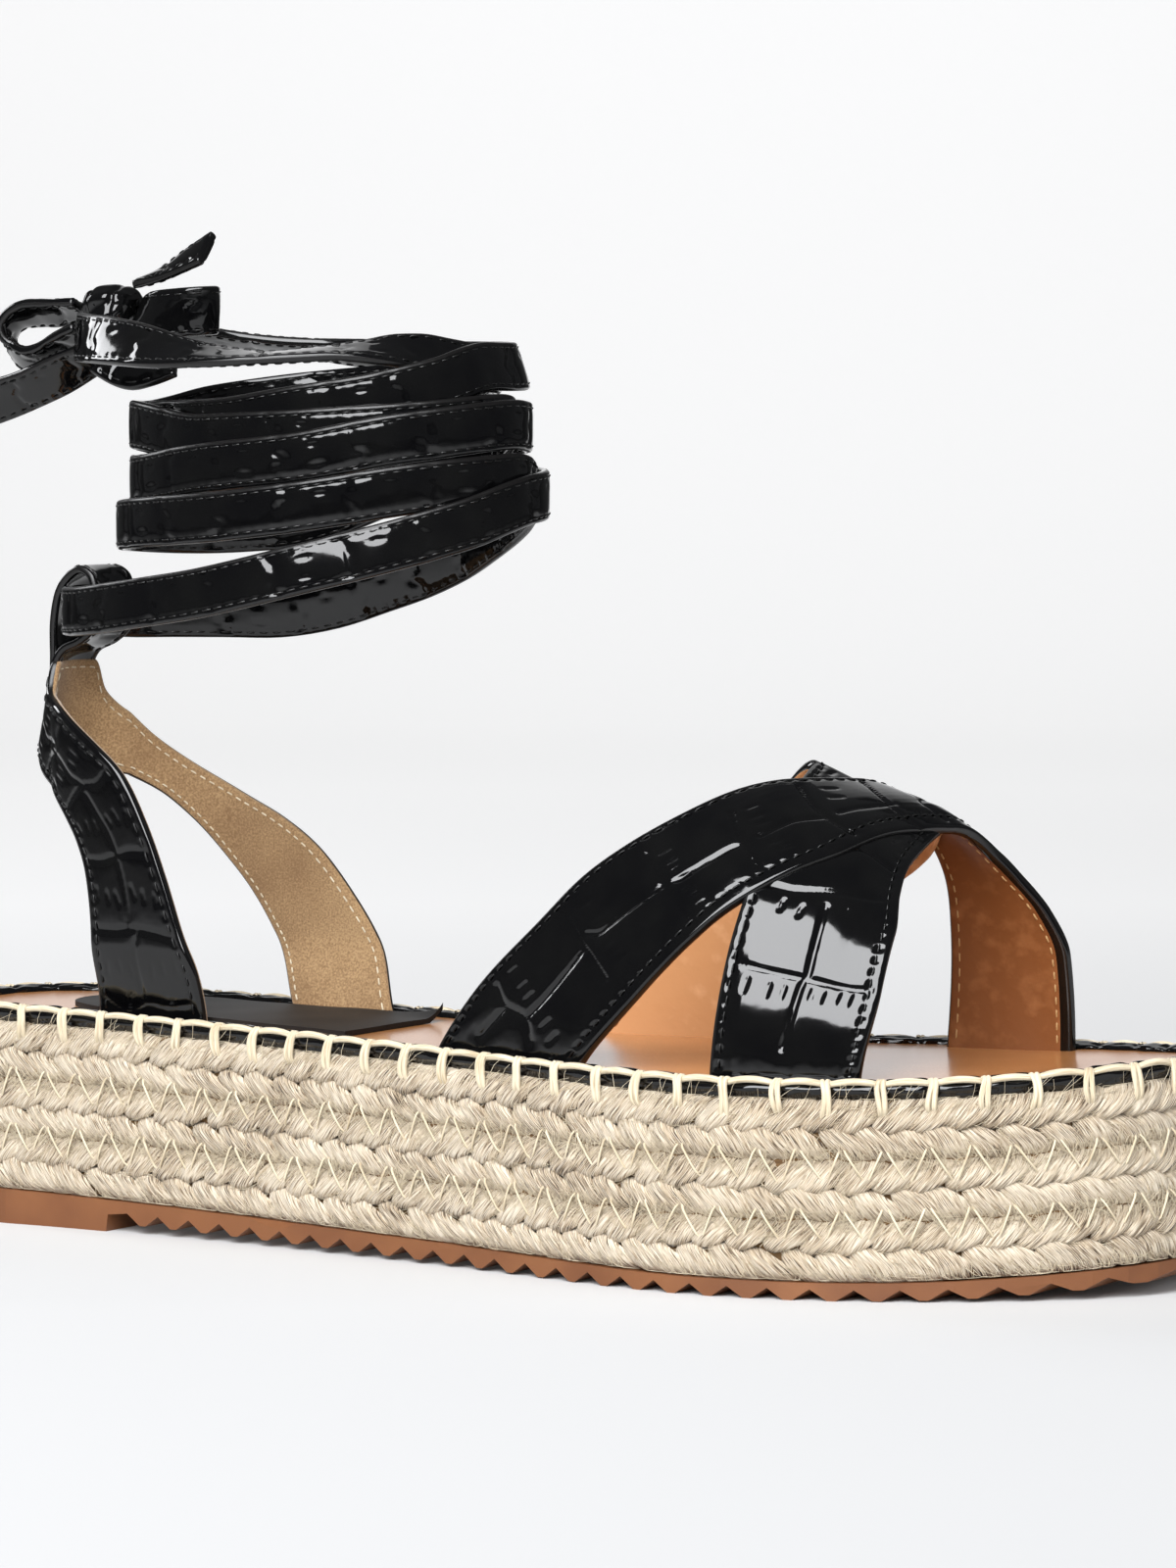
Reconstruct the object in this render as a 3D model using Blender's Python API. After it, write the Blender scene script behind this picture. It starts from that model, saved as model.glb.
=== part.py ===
"""Platform sandal: braided platform sole, crossed vamp straps, heel quarter, ankle tie and bow.

Sizes are in millimetres and are turned into metres when a mesh is made. Stations run along +X
from the heel end (0) to the toe tip (SHOE_LENGTH). -Y is the outer side of this right shoe, +Y the
inner side and +Z is up. The origin is the centre of the heel's flat underside.
"""

import math
from collections import namedtuple

import bmesh
import bpy
import numpy as np

METRES = 0.001
SHOE_LENGTH = 255.0
HEEL_CENTRE = 22.0
GAP = 0.3

# Sole outline, without its rounded ends: centre line and half width at each station.
Outline = namedtuple("Outline", "station centre half_width")
OUTLINE = [
    Outline(0, -1.0, 23.0),
    Outline(30, 0.5, 23.5),
    Outline(70, -0.8, 25.2),
    Outline(115, -4.0, 28.5),
    Outline(158, -4.5, 36.5),
    Outline(189, -1.0, 42.5),
    Outline(219, 5.5, 43.0),
    Outline(242, 8.5, 43.0),
    Outline(255, 8.5, 43.0),
]
HEEL_ROUND = 22.0
TOE_ROUND = 60.0
OUTLINE_STEPS = 32

# Side line of the sole: the braids' underside falls to the ball, then springs up to the toe.
HEEL_UNDERSIDE = 7.2
BALL_UNDERSIDE = 3.4
BALL_STATION = 173.0
SPRING_START = 204.0
SPRING_LENGTH = 51.0
SPRING_RISE = 3.0

# Braids, binding and insole.
BRAIDS = 3
BRAID_HEIGHT = 10.2
# Section of a braid and of the binding: (inset from the outline, height).
BRAID_PROFILE = [(2.0, 0.0), (0.4, 2.0), (0.0, 5.1), (0.4, 8.2), (2.0, 10.2)]
JUTE_HEIGHT = BRAIDS * BRAID_HEIGHT + (BRAIDS - 1) * GAP
BINDING_PROFILE = [
    (0.9, 0.3),
    (0.6, 1.7),
    (1.1, 3.0),
    (2.2, 3.6),
    (3.3, 3.3),
    (4.0, 2.3),
    (4.0, 0.3),
]
INSOLE_INSET = 4.3
INSOLE_THICKNESS = 2.1
INSOLE_CHAMFER = 0.5
INSOLE_TOP = JUTE_HEIGHT + GAP + INSOLE_THICKNESS
PAD_INSET = 9.5
PAD_FRONT = 94.0
PAD_THICKNESS = 1.0
PAD_CORNER = 2.0
PAD_BOW = 1.5
PAD_STEPS = 10

# Outsole: a plain heel block, then a thin plate with ribs right across it.
BLOCK_FRONT = 45.0
RIB_START = 50.0
RIB_PITCH = 7.3
RIB_COUNT = 28
RIB_DEPTH = 2.0
RIB_FLAT = 1.4
RIB_ROOT = 3.7
BLOCK_NOTCH = 3.2
BLOCK_SLOPE = 0.4
OUTSOLE_TOP_STEPS = 40
# The profile runs past the sole's ends, and the two prisms past each other, by these lengths.
END_OVERRUN = 3.0
SIDE_OVERRUN = 70.0
FLOOR_OVERRUN = 2.0
PRISM_TOP = 16.0
# Height of the ribs' tips at each station.
RIB_TIPS = [(50, 1.6), (60, 1.5), (115, 0.8), (174, 0.0), (204, 0.0)]

# Vamp: two straps that cross on the instep. Each edge is given as a station at each turn, where
# turn 0 is the foot on the outer side, 0.5 the instep and 1 the foot on the inner side.
STRAP_THICKNESS = 2.2
VAMP_INSET = 5.5
VAMP_ROUNDNESS = 2.2
VAMP_INNER_ROUNDNESS = 1.8
VAMP_CREST_SHIFT = 10.0
# Height of the vamp's skin over the insole at each station.
VAMP_HEIGHTS = [
    (115, 54.0),
    (140, 54.0),
    (160, 53.5),
    (178, 52.7),
    (188, 50.0),
    (199, 46.0),
    (207, 41.0),
    (215, 39.5),
]
VAMP_STEPS = 40
VAMP_COLUMNS = 3
Edge = namedtuple("Edge", "turn rear front")
OVER_STRAP = [
    Edge(0.00, 120.0, 153.8),
    Edge(0.06, 127.8, 164.5),
    Edge(0.14, 142.0, 176.5),
    Edge(0.20, 150.0, 184.8),
    Edge(0.25, 157.5, 191.2),
    Edge(0.31, 166.2, 197.5),
    Edge(0.38, 174.5, 201.0),
    Edge(0.44, 182.5, 203.5),
    Edge(0.50, 186.5, 205.0),
    Edge(0.60, 189.5, 206.0),
    Edge(0.70, 192.5, 209.0),
    Edge(0.78, 193.5, 213.0),
    Edge(0.86, 192.8, 215.5),
    Edge(1.00, 191.0, 215.5),
]
UNDER_STRAP = [
    Edge(0.00, 182.0, 209.0),
    Edge(0.12, 183.6, 209.5),
    Edge(0.21, 184.3, 209.2),
    Edge(0.35, 183.0, 208.0),
    Edge(0.50, 178.6, 206.0),
    Edge(0.60, 172.0, 202.0),
    Edge(0.70, 163.0, 194.0),
    Edge(0.80, 151.0, 182.0),
    Edge(0.90, 138.0, 167.0),
    Edge(1.00, 127.0, 152.0),
]
# How far each strap's skin lies under the over strap's, at each turn.
OVER_DEPTH = [(0.0, 0.0), (1.0, 0.0)]
UNDER_DEPTH = [(0.0, 0.0), (0.2, 1.4), (0.74, 1.4), (0.92, 0.0), (1.0, 0.0)]

# Heel quarter: one wall bent round the heel. u runs along the wall from the back seam.
QUARTER_THICKNESS = 2.0
QUARTER_BACK = 20.0
QUARTER_DEPTH = 28.0
QUARTER_HALF_WIDTH = 22.0
QUARTER_BASE_BLEND = 14.0
QUARTER_BASE_REACH = 20.0
QUARTER_PLAN_STEPS = 60
NECK_FLARE = 3.0
NECK_FLARE_REACH = 14.0
NECK_TOP = 106.0
NECK_HEIGHT = 16.0
QUARTER_COLUMNS = 4
QUARTER_STEPS_PER_ROW = 3
Cut = namedtuple("Cut", "u_low z_low u_high z_high")
OUTER_CUTS = [
    Cut(30.4, 39.8, 56.0, 39.4),
    Cut(31.0, 48.0, 54.8, 48.5),
    Cut(30.7, 57.0, 51.6, 57.0),
    Cut(29.4, 66.0, 48.0, 67.0),
    Cut(26.5, 72.5, 44.0, 76.5),
    Cut(21.4, 77.6, 38.6, 85.7),
    Cut(15.0, 81.5, 31.0, 91.5),
    Cut(9.0, 85.0, 20.0, 97.0),
    Cut(4.5, 88.0, 10.5, 100.3),
    Cut(2.0, 89.3, 6.6, 106.0),
]
BACK_CUT = Cut(0.0, 89.6, 0.0, 106.3)
INNER_CUTS = [
    Cut(2.0, 89.3, 6.6, 106.0),
    Cut(5.0, 87.5, 10.5, 99.5),
    Cut(10.0, 85.0, 15.5, 94.5),
    Cut(14.5, 83.0, 20.0, 90.5),
    Cut(20.5, 80.0, 27.0, 85.8),
    Cut(27.5, 74.5, 37.0, 80.5),
    Cut(34.6, 67.4, 47.5, 75.4),
    Cut(40.0, 61.5, 54.7, 70.5),
    Cut(44.5, 55.0, 62.5, 62.0),
    Cut(48.5, 47.5, 69.5, 51.5),
    Cut(52.8, 39.4, 75.2, 39.0),
]

# Heel loop: a folded tab stitched over the quarter's neck. The side line is read at y = 0.
LOOP_HALF_WIDTH = 6.3
LOOP_THICKNESS = 1.6
LOOP_STEPS = 26
LOOP_COLUMNS = 4
LOOP_LINE = [
    (15.9, 95.0),
    (17.1, 101.0),
    (18.1, 106.0),
    (18.9, 111.5),
    (20.0, 117.6),
    (22.8, 122.2),
    (26.4, 124.0),
    (29.8, 122.2),
    (31.0, 117.0),
    (30.0, 111.8),
    (27.0, 107.6),
    (24.6, 103.6),
    (23.0, 99.0),
    (22.7, 95.0),
]

# Ankle tie: one strap through the loop; each half makes three turns round the ankle.
TIE_WIDTH = 9.2
TIE_THICKNESS = 1.8
TIE_CENTRE = 81.5
TIE_FLATNESS = 0.72
TIE_STEPS_PER_TURN = 14
Winding = namedtuple("Winding", "turn reach height roll")
OUTER_HALF = [
    Winding(0.00, 56.8, 115.5, 0),
    Winding(0.15, 54.6, 115.6, 0),
    Winding(0.41, 47.6, 119.4, 4),
    Winding(0.58, 44.4, 124.6, 6),
    Winding(0.72, 42.8, 129.0, 6),
    Winding(0.85, 41.8, 133.0, 4),
    Winding(1.00, 41.3, 137.0, 0),
    Winding(1.50, 41.6, 139.1, 0),
    Winding(2.00, 40.9, 140.5, 0),
    Winding(2.20, 40.9, 140.4, 0),
    Winding(2.41, 39.8, 142.9, 0),
    Winding(2.58, 39.0, 145.0, 0),
    Winding(2.72, 38.7, 148.0, 0),
    Winding(3.00, 38.3, 150.8, 0),
    Winding(3.12, 38.0, 150.2, 0),
    Winding(3.25, 36.9, 149.7, 0),
    Winding(3.50, 34.6, 150.2, 0),
    Winding(3.80, 37.0, 150.4, 0),
    Winding(4.00, 39.5, 150.4, 0),
    Winding(4.20, 35.0, 150.6, 0),
    Winding(4.38, 33.6, 151.0, 0),
    Winding(4.56, 33.2, 153.4, 0),
    Winding(4.69, 33.0, 155.3, 0),
    Winding(4.85, 32.6, 158.6, 8),
    Winding(5.00, 32.2, 161.4, 16),
    Winding(5.10, 34.3, 161.4, 17),
    Winding(5.20, 37.2, 161.5, 18),
    Winding(5.30, 39.4, 161.9, 26),
    Winding(5.40, 41.6, 162.4, 38),
    Winding(5.55, 44.4, 163.5, 52),
    Winding(5.73, 49.0, 165.7, 75),
    Winding(5.93, 54.0, 169.0, 60),
]
INNER_HALF = [
    Winding(0.00, 56.8, 115.5, 0),
    Winding(0.08, 55.5, 114.4, 0),
    Winding(0.28, 48.6, 114.2, 4),
    Winding(0.45, 43.6, 120.0, 8),
    Winding(0.58, 40.6, 126.0, 8),
    Winding(0.68, 38.8, 131.0, 6),
    Winding(0.80, 38.9, 136.0, 3),
    Winding(1.00, 39.1, 141.0, 0),
    Winding(1.15, 39.4, 140.2, 0),
    Winding(1.28, 40.0, 138.6, 0),
    Winding(1.42, 42.2, 136.0, 0),
    Winding(1.59, 43.2, 133.6, 0),
    Winding(1.80, 43.6, 132.2, 0),
    Winding(2.00, 43.8, 131.1, 0),
    Winding(2.12, 41.0, 130.6, 0),
    Winding(2.25, 38.0, 131.2, 0),
    Winding(2.50, 33.6, 139.5, 0),
    Winding(2.62, 31.8, 143.8, 0),
    Winding(2.80, 33.0, 148.5, 0),
    Winding(3.00, 36.0, 151.8, 0),
    Winding(3.28, 36.0, 150.0, 0),
    Winding(3.52, 36.4, 148.6, 0),
    Winding(3.65, 37.0, 148.2, 0),
    Winding(3.75, 38.2, 149.6, 0),
    Winding(3.86, 40.8, 150.6, 0),
    Winding(4.00, 41.8, 150.6, 0),
    Winding(4.15, 41.4, 153.4, 0),
    Winding(4.30, 39.4, 155.8, 0),
    Winding(4.50, 37.2, 158.0, 0),
    Winding(4.60, 37.2, 159.8, 0),
    Winding(4.70, 35.0, 160.5, 0),
    Winding(4.80, 32.2, 160.9, 6),
    Winding(5.00, 29.6, 161.4, 16),
    Winding(5.20, 27.0, 164.2, 50),
    Winding(5.36, 29.0, 164.0, 78),
    Winding(5.50, 34.4, 163.0, 84),
    Winding(5.60, 40.0, 163.4, 70),
    Winding(5.76, 47.4, 166.2, 24),
    Winding(5.93, 53.5, 167.2, 4),
]

# Bow: knot, two loops and two tails. Each row is a centre and the direction of the strap's width.
Row = namedtuple("Row", "x y z wide_x wide_y wide_z")
KNOT_CENTRE = (31.5, 0.0, 172.6)
# The knot's section at each distance along X, as a share of its half depth and half height.
KNOT_RINGS = [
    (-5.4, 0.5),
    (-4.4, 0.85),
    (-2.6, 1.0),
    (0.0, 1.04),
    (2.6, 1.0),
    (4.4, 0.85),
    (5.4, 0.5),
]
KNOT_HALF_DEPTH = 6.4
KNOT_HALF_HEIGHT = 4.7
KNOT_SIDES = 14
REAR_LOOP = [
    Row(24.6, -0.4, 172.6, -0.35, 0.82, -0.30),
    Row(18.3, -1.1, 171.8, -0.35, 0.82, -0.45),
    Row(12.3, -1.1, 171.4, -0.35, 0.82, -0.45),
    Row(8.6, -1.1, 169.4, -0.35, 0.82, -0.45),
    Row(7.8, -1.1, 166.4, -0.35, 0.82, -0.45),
    Row(9.8, -1.1, 163.9, -0.35, 0.82, -0.45),
    Row(13.3, -1.1, 162.9, -0.35, 0.82, -0.45),
    Row(17.6, -1.1, 164.2, -0.35, 0.82, -0.45),
    Row(21.4, -1.1, 166.4, -0.35, 0.82, -0.45),
    Row(24.8, -0.4, 168.4, -0.35, 0.82, -0.30),
]
FRONT_LOOP = [
    Row(38.6, -2.0, 170.8, 0.1, 0.5, 0.86),
    Row(43.0, -3.6, 171.2, 0.1, 0.1, 0.99),
    Row(49.0, -3.6, 171.7, 0.1, -0.1, 0.99),
    Row(53.2, -2.4, 172.0, 0.1, -0.1, 0.99),
    Row(54.3, -0.4, 172.1, 0.1, -0.1, 0.99),
    Row(53.0, 1.6, 172.1, 0.1, -0.1, 0.99),
    Row(48.0, 2.2, 171.8, 0.1, -0.1, 0.99),
    Row(43.0, 1.8, 171.4, 0.1, 0.1, 0.99),
    Row(38.6, 1.6, 171.0, 0.1, 0.5, 0.86),
]
UPPER_TAIL = [
    Row(38.2, 0.6, 177.8, -0.50, 0.86, 0.0),
    Row(42.0, 0.6, 179.2, -0.50, 0.84, 0.15),
    Row(47.0, 0.4, 181.4, -0.48, 0.80, 0.32),
    Row(52.6, 0.0, 183.8, -0.46, 0.76, 0.46),
]
LOWER_TAIL = [
    Row(26.0, -0.4, 163.0, 0.0, -0.85, 0.5),
    Row(20.0, -1.2, 160.2, 0.0, -0.7, 0.7),
    Row(13.0, -1.4, 157.4, 0.0, -0.7, 0.7),
    Row(5.0, -1.2, 155.0, 0.0, -0.6, 0.8),
    Row(-2.0, -1.0, 153.0, 0.0, -0.6, 0.8),
    Row(-8.0, -1.0, 151.4, 0.0, -0.6, 0.8),
]
UNDER_FOLD = [
    Row(28.8, 1.0, 164.0, 0.0, 0.5, 0.86),
    Row(32.0, 0.8, 162.4, 0.0, 0.5, 0.86),
    Row(36.0, 0.6, 161.2, 0.0, 0.5, 0.86),
    Row(40.0, 1.0, 162.0, 0.0, 0.5, 0.86),
    Row(44.0, 1.6, 163.4, 0.0, 0.5, 0.86),
]
SLANT_STEPS = 3
UPPER_TAIL_SLANT = -7.0
LOWER_TAIL_SLANT = 5.0
BOW_STEP = 2.6

Finish = namedtuple("Finish", "label colour roughness")
FINISHES = [
    Finish("patent_black", (0.012, 0.012, 0.013), 0.12),
    Finish("insole_tan", (0.55, 0.31, 0.14), 0.45),
    Finish("jute", (0.62, 0.49, 0.30), 0.85),
    Finish("rubber_brown", (0.36, 0.16, 0.06), 0.6),
]


def smooth(points, at):
    """Monotone cubic through (x, value) points: it passes every point and never overshoots."""
    xs, values = np.array(points, float).T
    step = np.diff(xs)
    slope = np.diff(values) / step
    turn = np.zeros(len(xs))
    turn[0], turn[-1] = slope[0], slope[-1]
    for i in range(1, len(xs) - 1):
        if slope[i - 1] * slope[i] > 0:
            before, after = 2 * step[i] + step[i - 1], step[i] + 2 * step[i - 1]
            turn[i] = (before + after) / (before / slope[i - 1] + after / slope[i])
    at = np.clip(np.asarray(at, float), xs[0], xs[-1])
    i = np.clip(np.searchsorted(xs, at, side="right") - 1, 0, len(step) - 1)
    t = (at - xs[i]) / step[i]
    rise = values[i] * (1 + 2 * t) * (1 - t) ** 2 + values[i + 1] * t * t * (3 - 2 * t)
    return rise + step[i] * t * (1 - t) * (turn[i] * (1 - t) - turn[i + 1] * t)


def column(rows, key, value):
    return [(getattr(row, key), getattr(row, value)) for row in rows]


def half_width(station):
    """Half of the sole's width, with its rounded heel and toe."""
    half = smooth(column(OUTLINE, "station", "half_width"), station)
    heel = np.clip((HEEL_ROUND - station) / HEEL_ROUND, 0, 1)
    toe = np.clip((station - SHOE_LENGTH + TOE_ROUND) / TOE_ROUND, 0, 1)
    return half * np.sqrt(1 - heel**2) * np.sqrt(1 - toe**2)


def outline():
    """The sole's outline, anticlockwise from the heel's tip, (2 * OUTLINE_STEPS, 2)."""
    angle = math.pi * np.arange(OUTLINE_STEPS + 1) / OUTLINE_STEPS
    station = SHOE_LENGTH * (1 - np.cos(angle)) / 2
    middle = smooth(column(OUTLINE, "station", "centre"), station)
    half = half_width(station)
    outer = np.stack([station, middle - half], axis=1)
    inner = np.stack([station, middle + half], axis=1)
    return np.concatenate([outer, inner[-2:0:-1]])


def inset(points, distance):
    """The closed outline moved inwards along its normals."""
    along = np.roll(points, -1, axis=0) - np.roll(points, 1, axis=0)
    along /= np.linalg.norm(along, axis=1)[:, None]
    return points + distance * np.stack([-along[:, 1], along[:, 0]], axis=1)


def inset_side(distance, station, side):
    """y of the inset outline at a station, on the outer (-1) or the inner (+1) side."""
    ring = inset(outline(), distance)
    half = ring[: OUTLINE_STEPS + 1] if side < 0 else np.roll(ring[::-1], 1, axis=0)[: OUTLINE_STEPS + 1]
    return np.interp(station, half[:, 0], half[:, 1])


def toe_spring(station):
    return SPRING_RISE * (np.maximum(0, station - SPRING_START) / SPRING_LENGTH) ** 2


def underside(station):
    """Height of the braids' underside."""
    fall = HEEL_UNDERSIDE - (HEEL_UNDERSIDE - BALL_UNDERSIDE) * np.asarray(station) / BALL_STATION
    return np.maximum(BALL_UNDERSIDE, fall) + toe_spring(station)


def at_height(ring, height):
    """The (x, y) ring at a height above the braids' underside."""
    return np.column_stack([ring, underside(ring[:, 0]) + height])


def new_object(name, points, faces, material, target=None):
    """A closed mesh object from millimetre points and index faces, with its normals facing out."""
    mesh = bmesh.new()
    shifted = (np.asarray(points, float) - (HEEL_CENTRE, 0, 0)) * METRES
    vertices = [mesh.verts.new(point) for point in shifted]
    for face in faces:
        mesh.faces.new([vertices[i] for i in face])
    bmesh.ops.recalc_face_normals(mesh, faces=mesh.faces)
    data = bpy.data.meshes.new(name)
    mesh.to_mesh(data)
    mesh.free()
    made = bpy.data.objects.new(name, data)
    made.data.materials.append(bpy.data.materials[material])
    (target or parts).objects.link(made)
    return made


def ladder(first, count):
    """Faces across a closed ring of an even count, between the points of equal station."""
    half = count // 2
    rungs = [(first + i, first + (count - i) % count) for i in range(1, half)]
    faces = [(first, *rungs[0]), (rungs[-1][0], first + half, rungs[-1][1])]
    faces += [(a, c, d, b) for (a, b), (c, d) in zip(rungs, rungs[1:])]
    return faces


def ring_sides(first, second, count):
    following = [(i + 1) % count for i in range(count)]
    return [(first + i, first + j, second + j, second + i) for i, j in enumerate(following)]


def slab(name, rings, material):
    """A solid through closed rings, bottom to top, closed by a ladder of faces at each end."""
    count = len(rings[0])
    faces = ladder(0, count) + ladder(count * (len(rings) - 1), count)
    for i in range(len(rings) - 1):
        faces += ring_sides(count * i, count * (i + 1), count)
    return new_object(name, np.concatenate(rings), faces, material)


def hoop(name, rings, material):
    """A closed tube whose skin runs through the rings and back to the first."""
    count = len(rings[0])
    faces = []
    for i in range(len(rings)):
        faces += ring_sides(count * i, count * ((i + 1) % len(rings)), count)
    return new_object(name, np.concatenate(rings), faces, material)


def wall(name, skin, thickness, material, target=None):
    """A wall from a grid of points on its outer skin (rows, columns, 3), thickened inwards."""
    along = np.gradient(skin, axis=0)
    across = np.gradient(skin, axis=1)
    normal = np.cross(across, along)
    normal /= np.linalg.norm(normal, axis=2)[:, :, None]
    rows, columns = skin.shape[:2]
    size = rows * columns
    points = np.concatenate([skin.reshape(-1, 3), (skin - thickness * normal).reshape(-1, 3)])
    index = np.arange(size).reshape(rows, columns)
    faces = []
    for r in range(rows - 1):
        for c in range(columns - 1):
            corner = (index[r, c], index[r + 1, c], index[r + 1, c + 1], index[r, c + 1])
            faces += [corner, tuple(i + size for i in corner[::-1])]
    rim = [*index[:, 0], *index[-1, 1:], *index[-2::-1, -1], *index[0, -2:0:-1]]
    faces += [(a, b, b + size, a + size) for a, b in zip(rim, rim[1:] + rim[:1])]
    return new_object(name, points, faces, material, target)


def strap(name, centres, wide, width, thickness, material, slant=0.0):
    """A flat strap along a line of centres. wide gives the direction of its width at each centre."""
    along = np.gradient(centres, axis=0)
    along /= np.linalg.norm(along, axis=1)[:, None]
    wide = wide - along * np.sum(wide * along, axis=1)[:, None]
    wide /= np.linalg.norm(wide, axis=1)[:, None]
    face = np.cross(along, wide)
    end = np.clip((np.arange(len(centres)) - len(centres) + 1 + SLANT_STEPS) / SLANT_STEPS, 0, 1)
    points = []
    for side, skin in ((1, 1), (1, -1), (-1, -1), (-1, 1)):
        line = centres + side * wide * width / 2 + skin * face * thickness / 2
        points.append(line + side * slant / 2 * end[:, None] * along)
    points = np.stack(points, axis=1).reshape(-1, 3)
    last = 4 * (len(centres) - 1)
    faces = [(0, 1, 2, 3), (last, last + 1, last + 2, last + 3)]
    for i in range(len(centres) - 1):
        faces += ring_sides(4 * i, 4 * i + 4, 4)
    return new_object(name, points, faces, material)


def spline(rows, step):
    """Rows of numbers resampled about every step millimetres along a smooth line through them."""
    rows = np.array(rows, float)
    length = np.concatenate([[0], np.cumsum(np.linalg.norm(np.diff(rows[:, :3], axis=0), axis=1))])
    slope = np.gradient(rows, length, axis=0)
    count = max(2, round(length[-1] / step) + 1)
    at = np.linspace(0, length[-1], count)
    i = np.clip(np.searchsorted(length, at, side="right") - 1, 0, len(length) - 2)
    span = (length[i + 1] - length[i])[:, None]
    t = (at[:, None] - length[i][:, None]) / span
    near = rows[i] * (1 + 2 * t) * (1 - t) ** 2 + slope[i] * span * t * (1 - t) ** 2
    far = rows[i + 1] * t * t * (3 - 2 * t) - slope[i + 1] * span * t * t * (1 - t)
    return near + far


def boolean(target, other, operation):
    modifier = target.modifiers.new(operation.lower(), "BOOLEAN")
    modifier.operation = operation
    modifier.solver = "EXACT"
    modifier.object = other
    other.hide_render = True
    other.display_type = "WIRE"


def make_outsole():
    ring = outline()
    low = np.column_stack([ring, np.full(len(ring), -FLOOR_OVERRUN)])
    high = np.column_stack([ring, np.full(len(ring), PRISM_TOP)])
    outsole = slab("outsole", [low, high], "rubber_brown")
    line = [(-END_OVERRUN, 0.0), (BLOCK_FRONT, 0.0)]
    line += [(BLOCK_FRONT + BLOCK_SLOPE, BLOCK_NOTCH), (RIB_START, RIB_ROOT)]
    for i in range(RIB_COUNT):
        start = RIB_START + i * RIB_PITCH
        flat = [start + (RIB_PITCH - RIB_FLAT) / 2, start + (RIB_PITCH + RIB_FLAT) / 2]
        tip = float(smooth(RIB_TIPS, flat[0]) + toe_spring(start + RIB_PITCH / 2))
        line += [(flat[0], tip), (flat[1], tip), (start + RIB_PITCH, tip + RIB_DEPTH)]
    upper = np.linspace(SHOE_LENGTH + END_OVERRUN, -END_OVERRUN, OUTSOLE_TOP_STEPS)
    line += [(x, float(underside(x)) - GAP) for x in upper]
    side = np.array(line)
    count = len(side)
    near = np.column_stack([side[:, 0], np.full(count, -SIDE_OVERRUN), side[:, 1]])
    far = near + (0, 2 * SIDE_OVERRUN, 0)
    faces = [tuple(range(count)), tuple(range(2 * count - 1, count - 1, -1))]
    faces += ring_sides(0, count, count)
    cutter = new_object("outsole_side", np.concatenate([near, far]), faces, "rubber_brown", cutters)
    boolean(outsole, cutter, "INTERSECT")


def make_sole():
    ring = outline()
    for i in range(BRAIDS):
        base = i * (BRAID_HEIGHT + GAP)
        rings = [at_height(inset(ring, d), base + h) for d, h in BRAID_PROFILE]
        slab(f"platform_braid_{i + 1}", rings, "jute")
    rings = [at_height(inset(ring, d), JUTE_HEIGHT + h) for d, h in BINDING_PROFILE]
    hoop("binding", rings, "patent_black")
    profile = [
        (INSOLE_INSET, JUTE_HEIGHT + GAP),
        (INSOLE_INSET, INSOLE_TOP - INSOLE_CHAMFER),
        (INSOLE_INSET + INSOLE_CHAMFER, INSOLE_TOP),
    ]
    slab("insole", [at_height(inset(ring, d), h) for d, h in profile], "insole_tan")


def make_heel_pad():
    """The patent pad on the heel end of the insole, round behind and straight in front."""
    ring = inset(outline(), PAD_INSET)
    rear = ring[:, 0].min()
    station = rear + (PAD_FRONT - rear) * (1 - np.cos(np.linspace(0, math.pi / 2, PAD_STEPS)))
    outer = inset_side(PAD_INSET, station, -1)
    inner = inset_side(PAD_INSET, station, 1)
    ahead = PAD_FRONT + PAD_BOW
    front = [(ahead, outer[-1] + PAD_CORNER), (ahead, inner[-1] - PAD_CORNER)]
    tip = [(rear, (outer[0] + inner[0]) / 2)]
    middle = [(ahead, (outer[-1] + inner[-1]) / 2)]
    near = [*zip(station[1:], outer[1:])]
    far = [*zip(station[1:], inner[1:])]
    edge = np.array(tip + near + front[:1] + middle + front[1:] + far[::-1])
    rings = [at_height(edge, INSOLE_TOP + GAP), at_height(edge, INSOLE_TOP + GAP + PAD_THICKNESS)]
    slab("heel_pad", rings, "patent_black")


def vamp_skin(edges, depth):
    """Grid on the outer skin of one vamp strap, from its outer foot over the instep to its inner foot."""
    turn = np.linspace(0, 1, VAMP_STEPS + 1)
    rear = smooth(column(edges, "turn", "rear"), turn)[:, None]
    front = smooth(column(edges, "turn", "front"), turn)[:, None]
    across = np.linspace(0, 1, VAMP_COLUMNS + 1)[None, :]
    station = rear + (front - rear) * across
    angle = math.pi * turn[:, None] + 0 * station
    outer = inset_side(VAMP_INSET, station, -1)
    inner = inset_side(VAMP_INSET, station, 1)
    crest = (outer + inner) / 2 + VAMP_CREST_SHIFT
    outside = np.cos(angle) > 0
    roundness = np.where(outside, VAMP_ROUNDNESS, VAMP_INNER_ROUNDNESS)
    spread = np.abs(np.cos(angle)) ** (2 / roundness)
    y = crest + np.where(outside, outer - crest, inner - crest) * spread
    rise = np.abs(np.sin(angle)) ** (2 / roundness)
    sunk = smooth(depth, turn)[:, None]
    z = underside(station) + INSOLE_TOP + GAP + (smooth(VAMP_HEIGHTS, station) - sunk) * rise
    return np.stack([station, y, z], axis=2)


def make_vamp():
    skin = vamp_skin(OVER_STRAP, OVER_DEPTH)
    over = wall("vamp_cross_straps", skin, STRAP_THICKNESS, "patent_black")
    skin = vamp_skin(UNDER_STRAP, UNDER_DEPTH)
    under = wall("vamp_under", skin, STRAP_THICKNESS, "patent_black", cutters)
    boolean(over, under, "UNION")


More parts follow.
